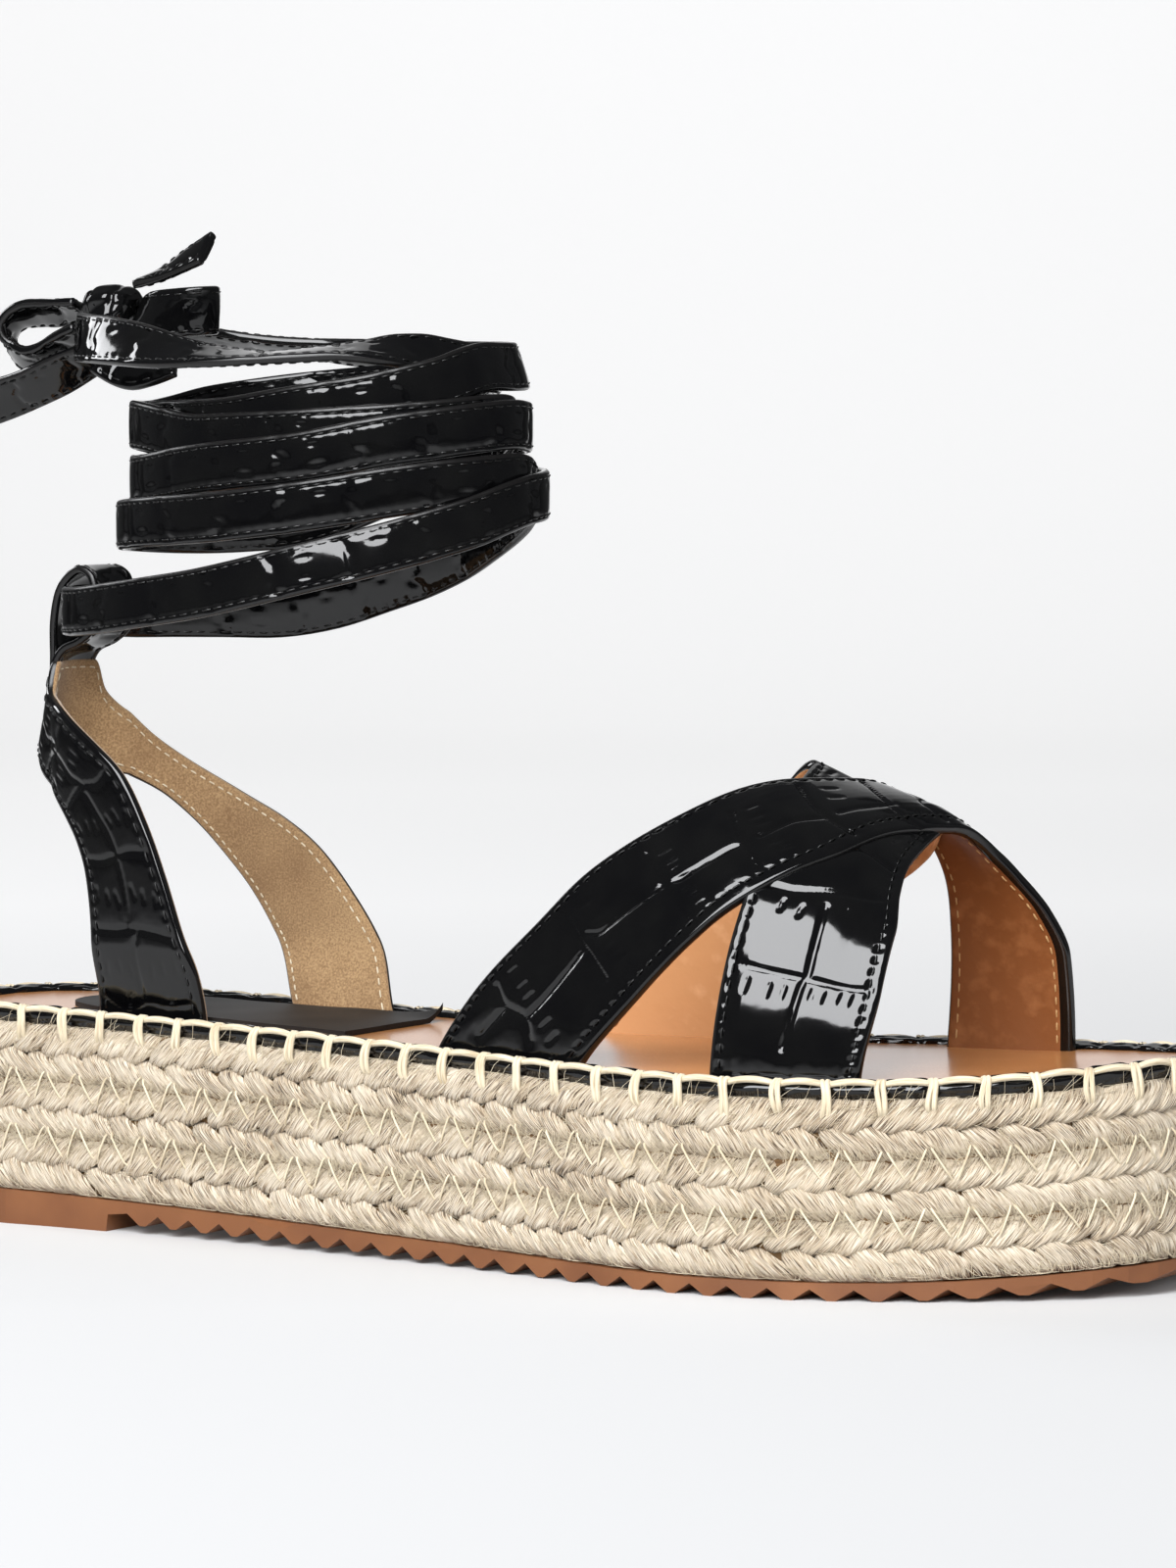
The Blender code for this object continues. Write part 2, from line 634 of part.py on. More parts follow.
def quarter_plan(u):
    """(x, y) of the quarter's outer skin at a distance u round from the back seam."""
    angle = np.linspace(0, math.pi / 2, QUARTER_PLAN_STEPS)
    x = QUARTER_BACK + QUARTER_DEPTH * (1 - np.cos(angle))
    y = QUARTER_HALF_WIDTH * np.sin(angle)
    arc = np.concatenate([[0], np.cumsum(np.hypot(np.diff(x), np.diff(y)))])
    beyond = np.maximum(0, np.abs(u) - arc[-1])
    return np.interp(np.abs(u), arc, x) + beyond, np.sign(u) * np.interp(np.abs(u), arc, y)


def make_quarter():
    outer = [Cut(-cut.u_low, cut.z_low, -cut.u_high, cut.z_high) for cut in OUTER_CUTS]
    cuts = np.array(outer + [BACK_CUT] + INNER_CUTS)
    row = np.linspace(0, len(cuts) - 1, QUARTER_STEPS_PER_ROW * (len(cuts) - 1) + 1)
    low_u, low_z, high_u, high_z = [
        smooth(list(enumerate(cuts[:, i])), row)[:, None] for i in range(4)
    ]
    across = np.linspace(0, 1, QUARTER_COLUMNS + 1)[None, :]
    u = low_u + (high_u - low_u) * across
    z = low_z + (high_z - low_z) * across
    x, y = quarter_plan(u)
    foot = underside(x) + INSOLE_TOP + GAP
    z = np.maximum(z, foot)
    blend = np.clip((z - foot) / QUARTER_BASE_BLEND, 0, 1)
    blend = blend * blend * (3 - 2 * blend)
    base = np.where(u < 0, inset_side(VAMP_INSET, x, -1), inset_side(VAMP_INSET, x, 1))
    reach = np.clip(np.abs(u) / QUARTER_BASE_REACH, 0, 1)
    y = y + (base - y) * (1 - blend) * reach
    flare = np.clip((NECK_TOP - z) / NECK_HEIGHT, 0, 1) * np.clip(1 - (u / NECK_FLARE_REACH) ** 2, 0, 1)
    skin = np.stack([x - NECK_FLARE * flare, y, z], axis=2)
    wall("heel_quarter", skin, QUARTER_THICKNESS, "patent_black")


def make_heel_loop():
    """A tab folded over in the side view and curved like the quarter's back in plan."""
    line = spline([(x, 0, z) for x, z in LOOP_LINE], 1)
    pick = np.linspace(0, len(line) - 1, LOOP_STEPS + 1)
    x = np.interp(pick, range(len(line)), line[:, 0])[:, None]
    z = np.interp(pick, range(len(line)), line[:, 2])[:, None]
    y = np.linspace(LOOP_HALF_WIDTH, -LOOP_HALF_WIDTH, LOOP_COLUMNS + 1)[None, :]
    bend = QUARTER_DEPTH * (1 - np.sqrt(1 - (y / QUARTER_HALF_WIDTH) ** 2))
    skin = np.stack([x + bend, y + 0 * x, z + 0 * y], axis=2)
    wall("heel_loop", skin, LOOP_THICKNESS, "patent_black")


def tie_line(rows, side):
    """Centres and width directions of one half of the tie, from the heel loop to the knot."""
    turn = np.linspace(0, rows[-1].turn, round(rows[-1].turn * TIE_STEPS_PER_TURN) + 1)
    reach = smooth(column(rows, "turn", "reach"), turn)
    height = smooth(column(rows, "turn", "height"), turn)
    roll = np.radians(smooth(column(rows, "turn", "roll"), turn))
    x = TIE_CENTRE - reach * np.cos(math.pi * turn)
    y = side * TIE_FLATNESS * reach * np.sin(math.pi * turn)
    centres = np.stack([x, y, height], axis=1)
    outward = np.stack([x - TIE_CENTRE, y / TIE_FLATNESS**2, 0 * x], axis=1)
    outward /= np.linalg.norm(outward, axis=1)[:, None]
    wide = np.array((0, 0, 1.0)) * np.cos(roll)[:, None] - outward * np.sin(roll)[:, None]
    return centres, wide


def make_tie():
    outer, outer_wide = tie_line(OUTER_HALF, -1)
    inner, inner_wide = tie_line(INNER_HALF, 1)
    centres = np.concatenate([inner[:0:-1], outer])
    wide = np.concatenate([inner_wide[:0:-1], outer_wide])
    strap("ankle_tie", centres, wide, TIE_WIDTH, TIE_THICKNESS, "patent_black")


def make_bow():
    angle = 2 * math.pi * np.arange(KNOT_SIDES) / KNOT_SIDES
    rings = []
    for along, share in KNOT_RINGS:
        y = KNOT_HALF_DEPTH * share * np.cos(angle)
        z = KNOT_HALF_HEIGHT * share * np.sin(angle)
        rings.append(np.stack([0 * y + along, y, z], axis=1) + KNOT_CENTRE)
    slab("tie_knot", rings, "patent_black")
    for name, rows, slant in (
        ("bow_loop_rear", REAR_LOOP, 0.0),
        ("bow_loop_front", FRONT_LOOP, 0.0),
        ("bow_tail_upper", UPPER_TAIL, UPPER_TAIL_SLANT),
        ("bow_tail_lower", LOWER_TAIL, LOWER_TAIL_SLANT),
        ("bow_under_fold", UNDER_FOLD, 0.0),
    ):
        line = spline(rows, BOW_STEP)
        strap(name, line[:, :3], line[:, 3:], TIE_WIDTH, TIE_THICKNESS, "patent_black", slant)


for old in list(bpy.data.objects):
    bpy.data.objects.remove(old)
parts = bpy.data.collections.new("platform_sandal")
cutters = bpy.data.collections.new("cutters")
bpy.context.scene.collection.children.link(parts)
bpy.context.scene.collection.children.link(cutters)
cutters.hide_render = True
for finish in FINISHES:
    material = bpy.data.materials.new(finish.label)
    material.use_nodes = True
    shader = material.node_tree.nodes["Principled BSDF"]
    shader.inputs["Base Color"].default_value = (*finish.colour, 1)
    shader.inputs["Roughness"].default_value = finish.roughness

make_outsole()
make_sole()
make_heel_pad()
make_vamp()
make_quarter()
make_heel_loop()
make_tie()
make_bow()
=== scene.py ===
# %% [markdown]
# # A platform sandal, dressed around its solids
#
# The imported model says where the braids, straps and bow are. This lesson covers its plain solids
# with what a hand touches on the real sandal: plaited jute, embossed patent leather, tan leather,
# suede, thread and rubber. Lengths are in millimetres until a mesh is made. +X runs from the heel
# to the toe, -Y is the outer side of this right shoe, and +Z is up.

# %% Load the frame and keep its box
import math
from collections import namedtuple

import bmesh
import bpy
import numpy as np
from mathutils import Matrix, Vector
from mathutils.bvhtree import BVHTree
from mathutils.kdtree import KDTree


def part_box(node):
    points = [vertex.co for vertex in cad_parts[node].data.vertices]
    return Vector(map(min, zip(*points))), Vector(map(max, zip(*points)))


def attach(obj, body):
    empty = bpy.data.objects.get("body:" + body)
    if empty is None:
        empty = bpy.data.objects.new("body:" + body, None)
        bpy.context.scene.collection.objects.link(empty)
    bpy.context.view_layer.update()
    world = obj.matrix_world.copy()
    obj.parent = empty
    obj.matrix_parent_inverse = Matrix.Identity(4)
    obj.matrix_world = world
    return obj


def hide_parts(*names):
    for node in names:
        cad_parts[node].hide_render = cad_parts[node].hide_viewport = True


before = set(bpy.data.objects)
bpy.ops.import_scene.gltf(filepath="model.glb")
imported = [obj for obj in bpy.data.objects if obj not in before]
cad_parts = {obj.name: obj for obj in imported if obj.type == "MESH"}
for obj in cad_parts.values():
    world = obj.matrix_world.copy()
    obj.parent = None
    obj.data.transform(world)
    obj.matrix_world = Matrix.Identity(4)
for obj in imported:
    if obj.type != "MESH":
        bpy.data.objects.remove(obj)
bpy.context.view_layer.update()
MM = 0.001

# %% [markdown]
# ## Small tools
#
# Every piece here is a grid of points, so one function turns points and quads into an object. It
# can store a "grain" on each point, the millimetres across and along a strand: jute and thread read
# it, so their fibres run along the strand. Another function makes many little tubes at once.


# %% From points to a piece
def put(name, data):
    """A new object in the scene, from a mesh, a lamp or a camera."""
    made = bpy.data.objects.new(name, data)
    bpy.context.scene.collection.objects.link(made)
    return made


def new_piece(name, points, quads, materials, grain=None, faces_use=None):
    """A piece that rides on the shoe, from points in mm and quads of their numbers."""
    mesh = bpy.data.meshes.new(name)
    mesh.from_pydata(points.reshape(-1, 3) * MM, [], quads)
    mesh.shade_smooth()
    for material in materials:
        mesh.materials.append(material)
    if faces_use is not None:
        mesh.polygons.foreach_set("material_index", faces_use.astype(np.int32))
    if grain is not None:
        stored = mesh.attributes.new("grain", "FLOAT_VECTOR", "POINT")
        stored.data.foreach_set("vector", grain.ravel())
    mesh.validate()
    piece = put(name, mesh)
    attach(piece, "root")
    print(f"{name}: {len(mesh.vertices)} points")
    return piece


def grid_quads(rows, columns, round_columns=False, round_rows=False):
    """Quads of a grid of points, joined round where a direction closes on itself."""
    index = np.arange(rows * columns).reshape(rows, columns)
    if round_columns:
        index = np.concatenate([index, index[:, :1]], axis=1)
    if round_rows:
        index = np.concatenate([index, index[:1]])
    corners = [index[:-1, :-1], index[:-1, 1:], index[1:, 1:], index[1:, :-1]]
    return np.stack(corners, axis=-1).reshape(-1, 4)


def copies(quads, points_each, count):
    """The same quads for each of several equal grids of points."""
    return (quads[None] + (points_each * np.arange(count))[:, None, None]).reshape(-1, 4)


def new_threads(name, parts, material):
    """One piece from several arrays of strands or tubes, each as points, quads and grain."""
    points, quads, grain = zip(*parts)
    starts = np.cumsum([0] + [len(some) for some in points])
    quads = np.concatenate([some + start for some, start in zip(quads, starts)])
    return new_piece(name, np.concatenate(points), quads, [material], np.concatenate(grain))


def xyz(x, y, z):
    """Three arrays as one array of points."""
    return np.stack(np.broadcast_arrays(x, y, z), axis=-1)


def unit(vectors):
    return vectors / np.maximum(np.linalg.norm(vectors, axis=-1, keepdims=True), 1e-9)


def walked(points):
    """Distance walked along rows of points, at each of them."""
    steps = np.diff(points, axis=-2, prepend=points[..., :1, :])
    return np.cumsum(np.linalg.norm(steps, axis=-1), axis=-1)


def tubes(paths, radius, up, sides):
    """Many tubes at once, open at the ends. paths and up are (tubes, points, 3)."""
    count, steps = paths.shape[:2]
    side = unit(np.cross(unit(np.gradient(paths, axis=1)), up))
    top = np.cross(side, unit(np.gradient(paths, axis=1)))
    angle = 2 * math.pi * np.arange(sides) / sides
    radius = np.broadcast_to(radius, (count, steps))[:, :, None, None]
    ring = side[:, :, None] * np.cos(angle)[:, None] + top[:, :, None] * np.sin(angle)[:, None]
    points = (paths[:, :, None] + radius * ring).reshape(-1, 3)
    quads = copies(grid_quads(steps, sides, round_columns=True), steps * sides, count)
    grain = xyz(radius[..., 0] * angle, walked(paths)[:, :, None], 0.0)
    return points, quads, (grain + 37.0 * np.arange(count)[:, None, None, None]).reshape(-1, 3)


def smooth(points, at):
    """Monotone cubic through (x, value) points: it passes every point and never overshoots."""
    xs, values = np.array(points, float).T
    step = np.diff(xs)
    slope = np.diff(values) / step
    turn = np.zeros(len(xs))
    turn[0], turn[-1] = slope[0], slope[-1]
    for i in range(1, len(xs) - 1):
        if slope[i - 1] * slope[i] > 0:
            before, after = 2 * step[i] + step[i - 1], step[i] + 2 * step[i - 1]
            turn[i] = (before + after) / (before / slope[i - 1] + after / slope[i])
    at = np.clip(np.asarray(at, float), xs[0], xs[-1])
    i = np.clip(np.searchsorted(xs, at, side="right") - 1, 0, len(step) - 1)
    t = (at - xs[i]) / step[i]
    rise = values[i] * (1 + 2 * t) * (1 - t) ** 2 + values[i + 1] * t * t * (3 - 2 * t)
    return rise + step[i] * t * (1 - t) * (turn[i] * (1 - t) - turn[i + 1] * t)


def through(values, at):
    """The same curve through values numbered 0, 1, 2 and so on."""
    return smooth(list(enumerate(values)), at)


def ripple(x, y, size, seed):
    """Smooth unevenness from about -1 to 1: six sine waves of random direction near one size."""
    dice = np.random.default_rng(seed)
    total = 0
    for _ in range(6):
        turn, phase = dice.uniform(0, 2 * math.pi, 2)
        wave = 2 * math.pi / (size * dice.uniform(0.7, 1.5))
        total = total + np.sin(wave * (x * math.cos(turn) + y * math.sin(turn)) + phase)
    return total / 2.5


# %% [markdown]
# ## Materials
#
# The sandal has six surfaces: patent leather under a thick lacquer, smooth calf, suede with its
# raised nap, dry plant fibre, thread and moulded rubber. Each material starts from what the real
# one is, with colours as sRGB hex and its grain in real millimetres.


# %% Functions for colours and nodes
def srgb(code):
    """A hex colour as linear RGBA."""
    parts = [int(code[i : i + 2], 16) / 255 for i in (0, 2, 4)]
    return (*[c / 12.92 if c <= 0.04045 else ((c + 0.055) / 1.055) ** 2.4 for c in parts], 1)


def feed(material, node, inputs):
    """Give each socket of a node a value or another node's output."""
    for name, value in dict(inputs).items():
        if isinstance(value, bpy.types.NodeSocket):
            material.node_tree.links.new(value, node.inputs[name])
        else:
            node.inputs[name].default_value = value
    return node


def add(material, kind, inputs=(), **settings):
    """Add a shader node."""
    made = material.node_tree.nodes.new("ShaderNode" + kind)
    for name, value in settings.items():
        setattr(made, name, value)
    return feed(material, made, inputs)


def shade(material, **sockets):
    """Feed the material's Principled shader, as Base_Color=value and so on."""
    shader = material.node_tree.nodes["Principled BSDF"]
    feed(material, shader, {name.replace("_", " "): value for name, value in sockets.items()})


def new_material(name, roughness, ior=1.5, **sockets):
    """A material with one Principled shader. sockets are its other uniform values."""
    material = bpy.data.materials.new(name)
    material.use_nodes = True
    shade(material, Roughness=roughness, IOR=ior, **sockets)
    return material


def calculate(material, operation, *values):
    return add(material, "Math", enumerate(values), operation=operation).outputs[0]


def noise(material, size_mm, detail):
    """Noise through the object, with blotches of a size in mm."""
    place = add(material, "TexCoord").outputs["Object"]
    inputs = {"Vector": place, "Scale": 1 / (size_mm * MM), "Detail": detail}
    return add(material, "TexNoise", inputs).outputs["Fac"]


def ramp(material, value, stops):
    """A colour from a ramp through (position, hex) stops."""
    made = add(material, "ValToRGB", {"Fac": value})
    points = made.color_ramp.elements
    while len(points) < len(stops):
        points.new(0.5)
    for point, (position, code) in zip(points, stops):
        point.position = position
        point.color = srgb(code)
    return made.outputs["Color"]


def bump(material, height, strength, distance_mm):
    inputs = {"Height": height, "Strength": strength, "Distance": distance_mm * MM}
    shade(material, Normal=add(material, "Bump", inputs).outputs["Normal"])


# %% [markdown]
# ### Patent leather
#
# Lacquer has the IOR of a polyurethane coat, about 1.5, and next to no roughness. What keeps it
# from looking like glass is the coat's slow waviness, 2 to 4 mm long and a few hundredths of a
# millimetre high. The pressed scales themselves are modelled, since their troughs bend the light.

# %% Lacquered patent leather
patent = new_material("lacquered_patent_leather", 0.07)
shade(patent, Base_Color=ramp(patent, noise(patent, 9.0, 2.0), [(0.35, "050506"), (0.7, "0a0a0a")]))
bump(patent, noise(patent, 2.6, 1.0), 0.5, 0.03)

# %% [markdown]
# ### Cut edges, lining leather and suede
#
# A strap's cut edge is painted black with a wax paint, less glossy than the lacquer. The linings
# are tan calf with soft wrinkles about 3 mm apart; the over strap's lining is a darker copy of the
# same calf, painted shade for the shadow under the crossing straps. The insole is polished under a
# thin coat, so it mirrors the straps a little, and its pores are 0.5 mm apart.
# The heel pad is plain black leather, matt beside the patent. Suede has no gloss at all: its nap
# is drawn at 0.4 mm, coarser than the real 0.1 mm, so that it shows. Colours drift over 14 mm.


# %% Edge paint, calf and suede
def tanned(name, stops, roughness, pore_mm, depth_mm, grainy=0.25, **sockets):
    """Leather whose colour drifts and whose surface has wrinkles, pores or nap of a real size."""
    material = new_material(name, roughness, 1.45, **sockets)
    pores = noise(material, pore_mm, 3.0)
    drift = calculate(material, "ADD", noise(material, 14, 4.0), grainy)
    shade(material, Base_Color=ramp(material, calculate(material, "MULTIPLY", pores, drift), stops))
    bump(material, pores, 0.6, depth_mm)
    return material


edge_paint = new_material("waxed_edge_paint", 0.35, Base_Color=srgb("0c0b0b"))
calf = tanned("tan_calf_lining", [(0.36, "c28d5f"), (0.64, "d9a77c")], 0.42, 3.2, 0.2, 0.2)
# The over strap's lining is a darker copy of the tan calf: painted shade for the shadow under the crossing
# straps.
shaded_calf = tanned("shaded_tan_calf_lining", [(0.36, "7a4926"), (0.64, "95613a")], 0.42, 3.2, 0.2, 0.2)
insole_calf = tanned("tan_calf_insole", [(0.36, "ae7646"), (0.64, "c89060")], 0.28, 0.5, 0.03,
                     Coat_Weight=0.5, Coat_Roughness=0.16)
black_calf = tanned("black_calf_pad", [(0.36, "120f0e"), (0.64, "1e1917")], 0.62, 0.6, 0.05)
suede = tanned("tan_suede", [(0.32, "7c5f40"), (0.66, "a58761")], 0.95, 0.4, 0.13, 0.45, Sheen_Weight=0.3)

# %% [markdown]
# ### Jute, thread and rubber
#
# Plaiting jute is a bundle of fibres 0.1 mm thick, drawn 0.14 mm apart and long along the strand:
# the noise reads the grain vector squeezed lengthwise. Dark streaks, where that noise is low, are
# painted shade in the gaps between fibres.
# The third number of the grain gives each strand a pattern of its own. The outsole is caramel
# rubber from a mould: even in colour, with the steel's faint matt texture of about 0.4 mm.


# %% Plaited jute, threads and caramel rubber
def fibrous(name, stops, across_mm, along_mm, depth_mm, tone_mm):
    """Fibres along a strand: noise stretched over the grain vector."""
    material = new_material(name, 0.9, 1.47, Sheen_Weight=0.15)
    grain = add(material, "Attribute", attribute_name="grain").outputs["Vector"]
    pace = (1 / across_mm, 1 / along_mm, 1)
    squeezed = add(material, "VectorMath", {0: grain, 1: pace}, operation="MULTIPLY").outputs[0]
    inputs = {"Vector": squeezed, "Scale": 1.0, "Detail": 5.0}
    fibres = add(material, "TexNoise", inputs).outputs["Fac"]
    share = calculate(material, "MULTIPLY", fibres, 0.8)
    tone = calculate(material, "MULTIPLY_ADD", noise(material, tone_mm, 2.0), 0.2, share)
    # The same noise makes the bump, so the ramp's dark end is painted shade in the low gaps between fibres.
    shade(material, Base_Color=ramp(material, tone, stops))
    bump(material, fibres, 0.9, depth_mm)
    return material


# The dark first stop is painted shade between the fibres.
JUTE_STOPS = [(0.38, "3c2d20"), (0.43, "97836a"), (0.5, "c2b198"), (0.57, "ded2be")]
jute = fibrous("plaited_jute", JUTE_STOPS, 0.14, 4.0, 0.6, 11)
# The core's dark jute colour is painted shade for the gaps between strands.
jute_shade = fibrous("shaded_jute_core", [(0.3, "4e3820"), (0.7, "8a6a44")], 0.5, 5.0, 0.3, 8)
thread = fibrous("natural_cotton_thread", [(0.35, "b09e80"), (0.6, "d8ccb2")], 0.3, 4.0, 0.1, 20)
black_thread = new_material("black_bonded_thread", 0.4, Base_Color=srgb("080808"))
tan_thread = new_material("tan_bonded_thread", 0.5, Base_Color=srgb("b08a5c"))
rubber = new_material("moulded_caramel_rubber", 0.5)
shade(rubber, Base_Color=ramp(rubber, noise(rubber, 16, 3.0), [(0.3, "663c20"), (0.7, "7c4e2c")]))
bump(rubber, noise(rubber, 0.4, 2.0), 0.4, 0.05)
print("materials:", ", ".join(m.name for m in bpy.data.materials if m.use_nodes))

# %% [markdown]
# ## The sole's line, read off the frame
#
# Braids, stitches and binding all run round the sole, so they share one path. The path is found by
# casting rays outwards from a spine inside the middle braid; its height comes from rays cast up at
# the lowest braid. No outline has to be typed in again, and a change to the solids carries over.

# %% Outline and underside from rays
SPINE_START, SPINE_END = 22.0, 60.0
RIM_STEPS = 1600
BRAID_HEIGHT = 10.2
BRAID_STEP = 10.5
JUTE_TOP = 31.2
INSOLE_TOP = 33.6


def surface(node):
    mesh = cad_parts[node].data
    return BVHTree.FromPolygons([v.co for v in mesh.vertices], [p.vertices[:] for p in mesh.polygons])


low_corner, high_corner = (np.array(c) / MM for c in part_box("platform_braid_2"))
lowest_braid = surface("platform_braid_1")
middle_braid = surface("platform_braid_2")
lengthwise = np.array([v.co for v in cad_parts["platform_braid_2"].data.vertices]) / MM


def spine_at(x):
    """The middle of the sole's width at x."""
    near = lengthwise[np.abs(lengthwise[:, 0] - x) < 9]
    return (near[:, 1].min() + near[:, 1].max()) / 2


def hit(solid, start, way):
    """Where a ray meets a solid, in mm."""
    return np.array(solid.ray_cast(Vector(start) * MM, Vector(way))[0]) / MM


stations = np.linspace(low_corner[0] + 2.2, high_corner[0] - 2.2, 80)
heights = [hit(lowest_braid, (x, spine_at(x), -20), (0, 0, 1))[2] for x in stations]


def underside(x):
    """Height of the braids' underside over the floor."""
    return np.interp(x, stations, heights)


def cast(x, direction):
    """Where a level ray from the spine leaves the middle braid at its widest."""
    reach = (x,)
    for _ in range(2):
        z = underside(reach[0]) + BRAID_STEP + BRAID_HEIGHT / 2
        reach = hit(middle_braid, (x, spine_at(x), z), (*direction, 0))[:2]
    return reach


def fan(x, first, last):
    """Rays turned from the heel's way (0) past the outer side (1) to the toe's (2) and on."""
    turns = np.linspace(first, last, 1 + 39 * (last - first)) * math.pi / 2
    return [cast(x, (-math.cos(a), -math.sin(a))) for a in turns]


heel_middle, toe_middle = low_corner[0] + SPINE_START, high_corner[0] - SPINE_END
straight = np.linspace(heel_middle, toe_middle, 90)[1:-1]
rim = fan(heel_middle, 0, 1) + [cast(x, (0, -1)) for x in straight] + fan(toe_middle, 1, 3)
rim = np.array(rim + [cast(x, (0, 1)) for x in straight[::-1]] + fan(heel_middle, 3, 4))
passed = walked(rim)
RIM_LENGTH = passed[-1]
even = np.linspace(0, RIM_LENGTH, RIM_STEPS, endpoint=False)
rim = np.stack([np.interp(even, passed, rim[:, i]) for i in (0, 1)], axis=1)
for _ in range(6):
    rim = (np.roll(rim, 1, axis=0) + 2 * rim + np.roll(rim, -1, axis=0)) / 4
rim_along = unit(np.roll(rim, -3, axis=0) - np.roll(rim, 3, axis=0))
rim_out = np.stack([rim_along[:, 1], -rim_along[:, 0]], axis=1)
print("round the sole:", round(RIM_LENGTH), "mm")


def at_arc(arc, track):
    """x and y of the rim, or of its outward directions, at a distance round the sole."""
    return (np.interp(np.mod(arc, RIM_LENGTH), even, track[:, i], period=RIM_LENGTH) for i in (0, 1))


def on_sole(arc, height, out):
    """Points beside the sole: arc round it, height over the braids' underside, out from the rim."""
    (x, y), (out_x, out_y) = at_arc(arc, rim), at_arc(arc, rim_out)
    return xyz(x + out * out_x, y + out * out_y, underside(x) + height)


def outward(arc):
    return xyz(*at_arc(arc, rim_out), 0.0)


def side_y(inset, x, side):
    """y of the outline moved in by inset, on the outer (-1) or the inner (+1) side."""
    ring = rim - inset * rim_out
    first, last = ring[:, 0].argmin(), ring[:, 0].argmax()
    order = np.arange(RIM_STEPS)
    outer = order[(order - first) % RIM_STEPS <= (last - first) % RIM_STEPS]
    chosen = outer if side < 0 else np.setdiff1d(order, outer)
    chosen = chosen[np.argsort(ring[chosen, 0])]
    return np.interp(x, ring[chosen, 0], ring[chosen, 1])


# %% [markdown]
# ## Jute braids
#
# Each of the three braids shows two rows of strands that lean towards each other and dive under
# one another along a dark valley. A strand starts narrow in the valley, swells over most of its
# length and turns in at the braid's edge. It is made of a few bundles of fibres, so its back is
# gently fluted. All strands of a braid are one mesh, made from arrays: position, lean and
# plumpness vary a little from strand to strand, with a seeded random generator.

# %% Strands
STRAND_PITCH = 6.4
STRAND_WIDE = 8.3
STRAND_PLUMP = 1.2
STRAND_RUN = 5.2
STRAND_PAST_VALLEY = 0.9
VALLEY_DEPTH = 1.7
BUNDLE, SMALL_BUNDLE = 0.14, 0.07
ACROSS, ALONG = 19, 13
dice = np.random.default_rng(11)
ROW = round(RIM_LENGTH / STRAND_PITCH)


def strand_row(base, upper):
    """One row of strands as points, quads and grain. base is the braid's foot."""

    def vary(low, high):
        return dice.uniform(low, high, ROW)[:, None, None]

    number = np.arange(ROW)[:, None, None]
    start = RIM_LENGTH * (number + (0.0 if upper else 0.5)) / ROW + vary(-0.55, 0.55)
    plump, wide, lean, phase = vary(0.8, 1.15), vary(0.92, 1.1), vary(0.8, 1.2), vary(0, 2 * math.pi)
    q = np.linspace(0, 1, ALONG)[None, :, None]
    p = np.linspace(-1, 1, ACROSS)[None, None, :]
    past = STRAND_PAST_VALLEY * vary(0.5, 1.5)
    rise = -past + (BRAID_HEIGHT / 2 + 0.25 + past) * q + vary(-0.15, 0.15) * q
    height = base + BRAID_HEIGHT / 2 + (rise if upper else -rise)
    taper = np.sqrt(np.clip(0.06 + 2.0 * q, 0, 1)) * (1 - 0.2 * q**5)
    across = p * taper * wide * STRAND_WIDE
    arc = start + STRAND_RUN * lean * (1.25 * q - 0.25 * q * q) + across / 2
    arc = arc + 0.25 * np.sin(2.2 * math.pi * q + phase) * q
    dome = np.clip(1 - np.abs(p) ** 2.4, 0, 1) ** 0.62
    flutes = BUNDLE * np.cos(3.6 * math.pi * p + phase + 1.5 * q)
    flutes = flutes + SMALL_BUNDLE * np.cos(8.2 * math.pi * p + 2 * phase)
    valley = VALLEY_DEPTH * (1 - np.clip(q / 0.3, 0, 1)) ** 2
    turned_in = 1.5 * q**7 + 0.5 * q**2
    out = STRAND_PLUMP * plump * (dome * (0.72 + 0.28 * taper) - 1) + flutes * dome - valley - turned_in
    out = out + 0.35 * p * (1 - q) + 0.5
    number = number * 13.0 + (0 if upper else 900)
    grain = xyz(across * 0.38 + number, q * 8 + number * 0.7, number)
    quads = copies(grid_quads(ALONG, ACROSS), ALONG * ACROSS, ROW)
    return on_sole(arc, height, out).reshape(-1, 3), quads, grain.reshape(-1, 3)


for number in (1, 2, 3):
    rows = [strand_row(BRAID_STEP * (number - 1), upper) for upper in (False, True)]
    braid = new_threads(f"jute_braid_{number}", rows, jute)
    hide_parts(f"platform_braid_{number}")

# %% [markdown]
# Behind the strands lies the platform's core. Only slivers of it show between strands, so it is a
# plain band set 1.5 mm in, closed over the top and under the bottom. Its jute is coloured dark:
# painted shade for the deep gaps between the strands.

# %% Core behind the strands
CORE_PROFILE = [(-14.0, 0.2), (-1.9, 0.2), (-1.5, 2.0), (-1.5, 29.4), (-1.9, 31.2), (-14.0, 31.2)]
arc = np.linspace(0, RIM_LENGTH, 500, endpoint=False)[:, None]
inward, level = np.array(CORE_PROFILE).T
quads = grid_quads(len(arc), len(level), round_rows=True)
new_piece("platform_core", on_sole(arc, level, inward), quads, [jute_shade], xyz(level, arc, 0.0))

# %% [markdown]
# A machine joins the braids with a fine zig-zag of pale thread, 7 mm tall and 7.5 mm long.

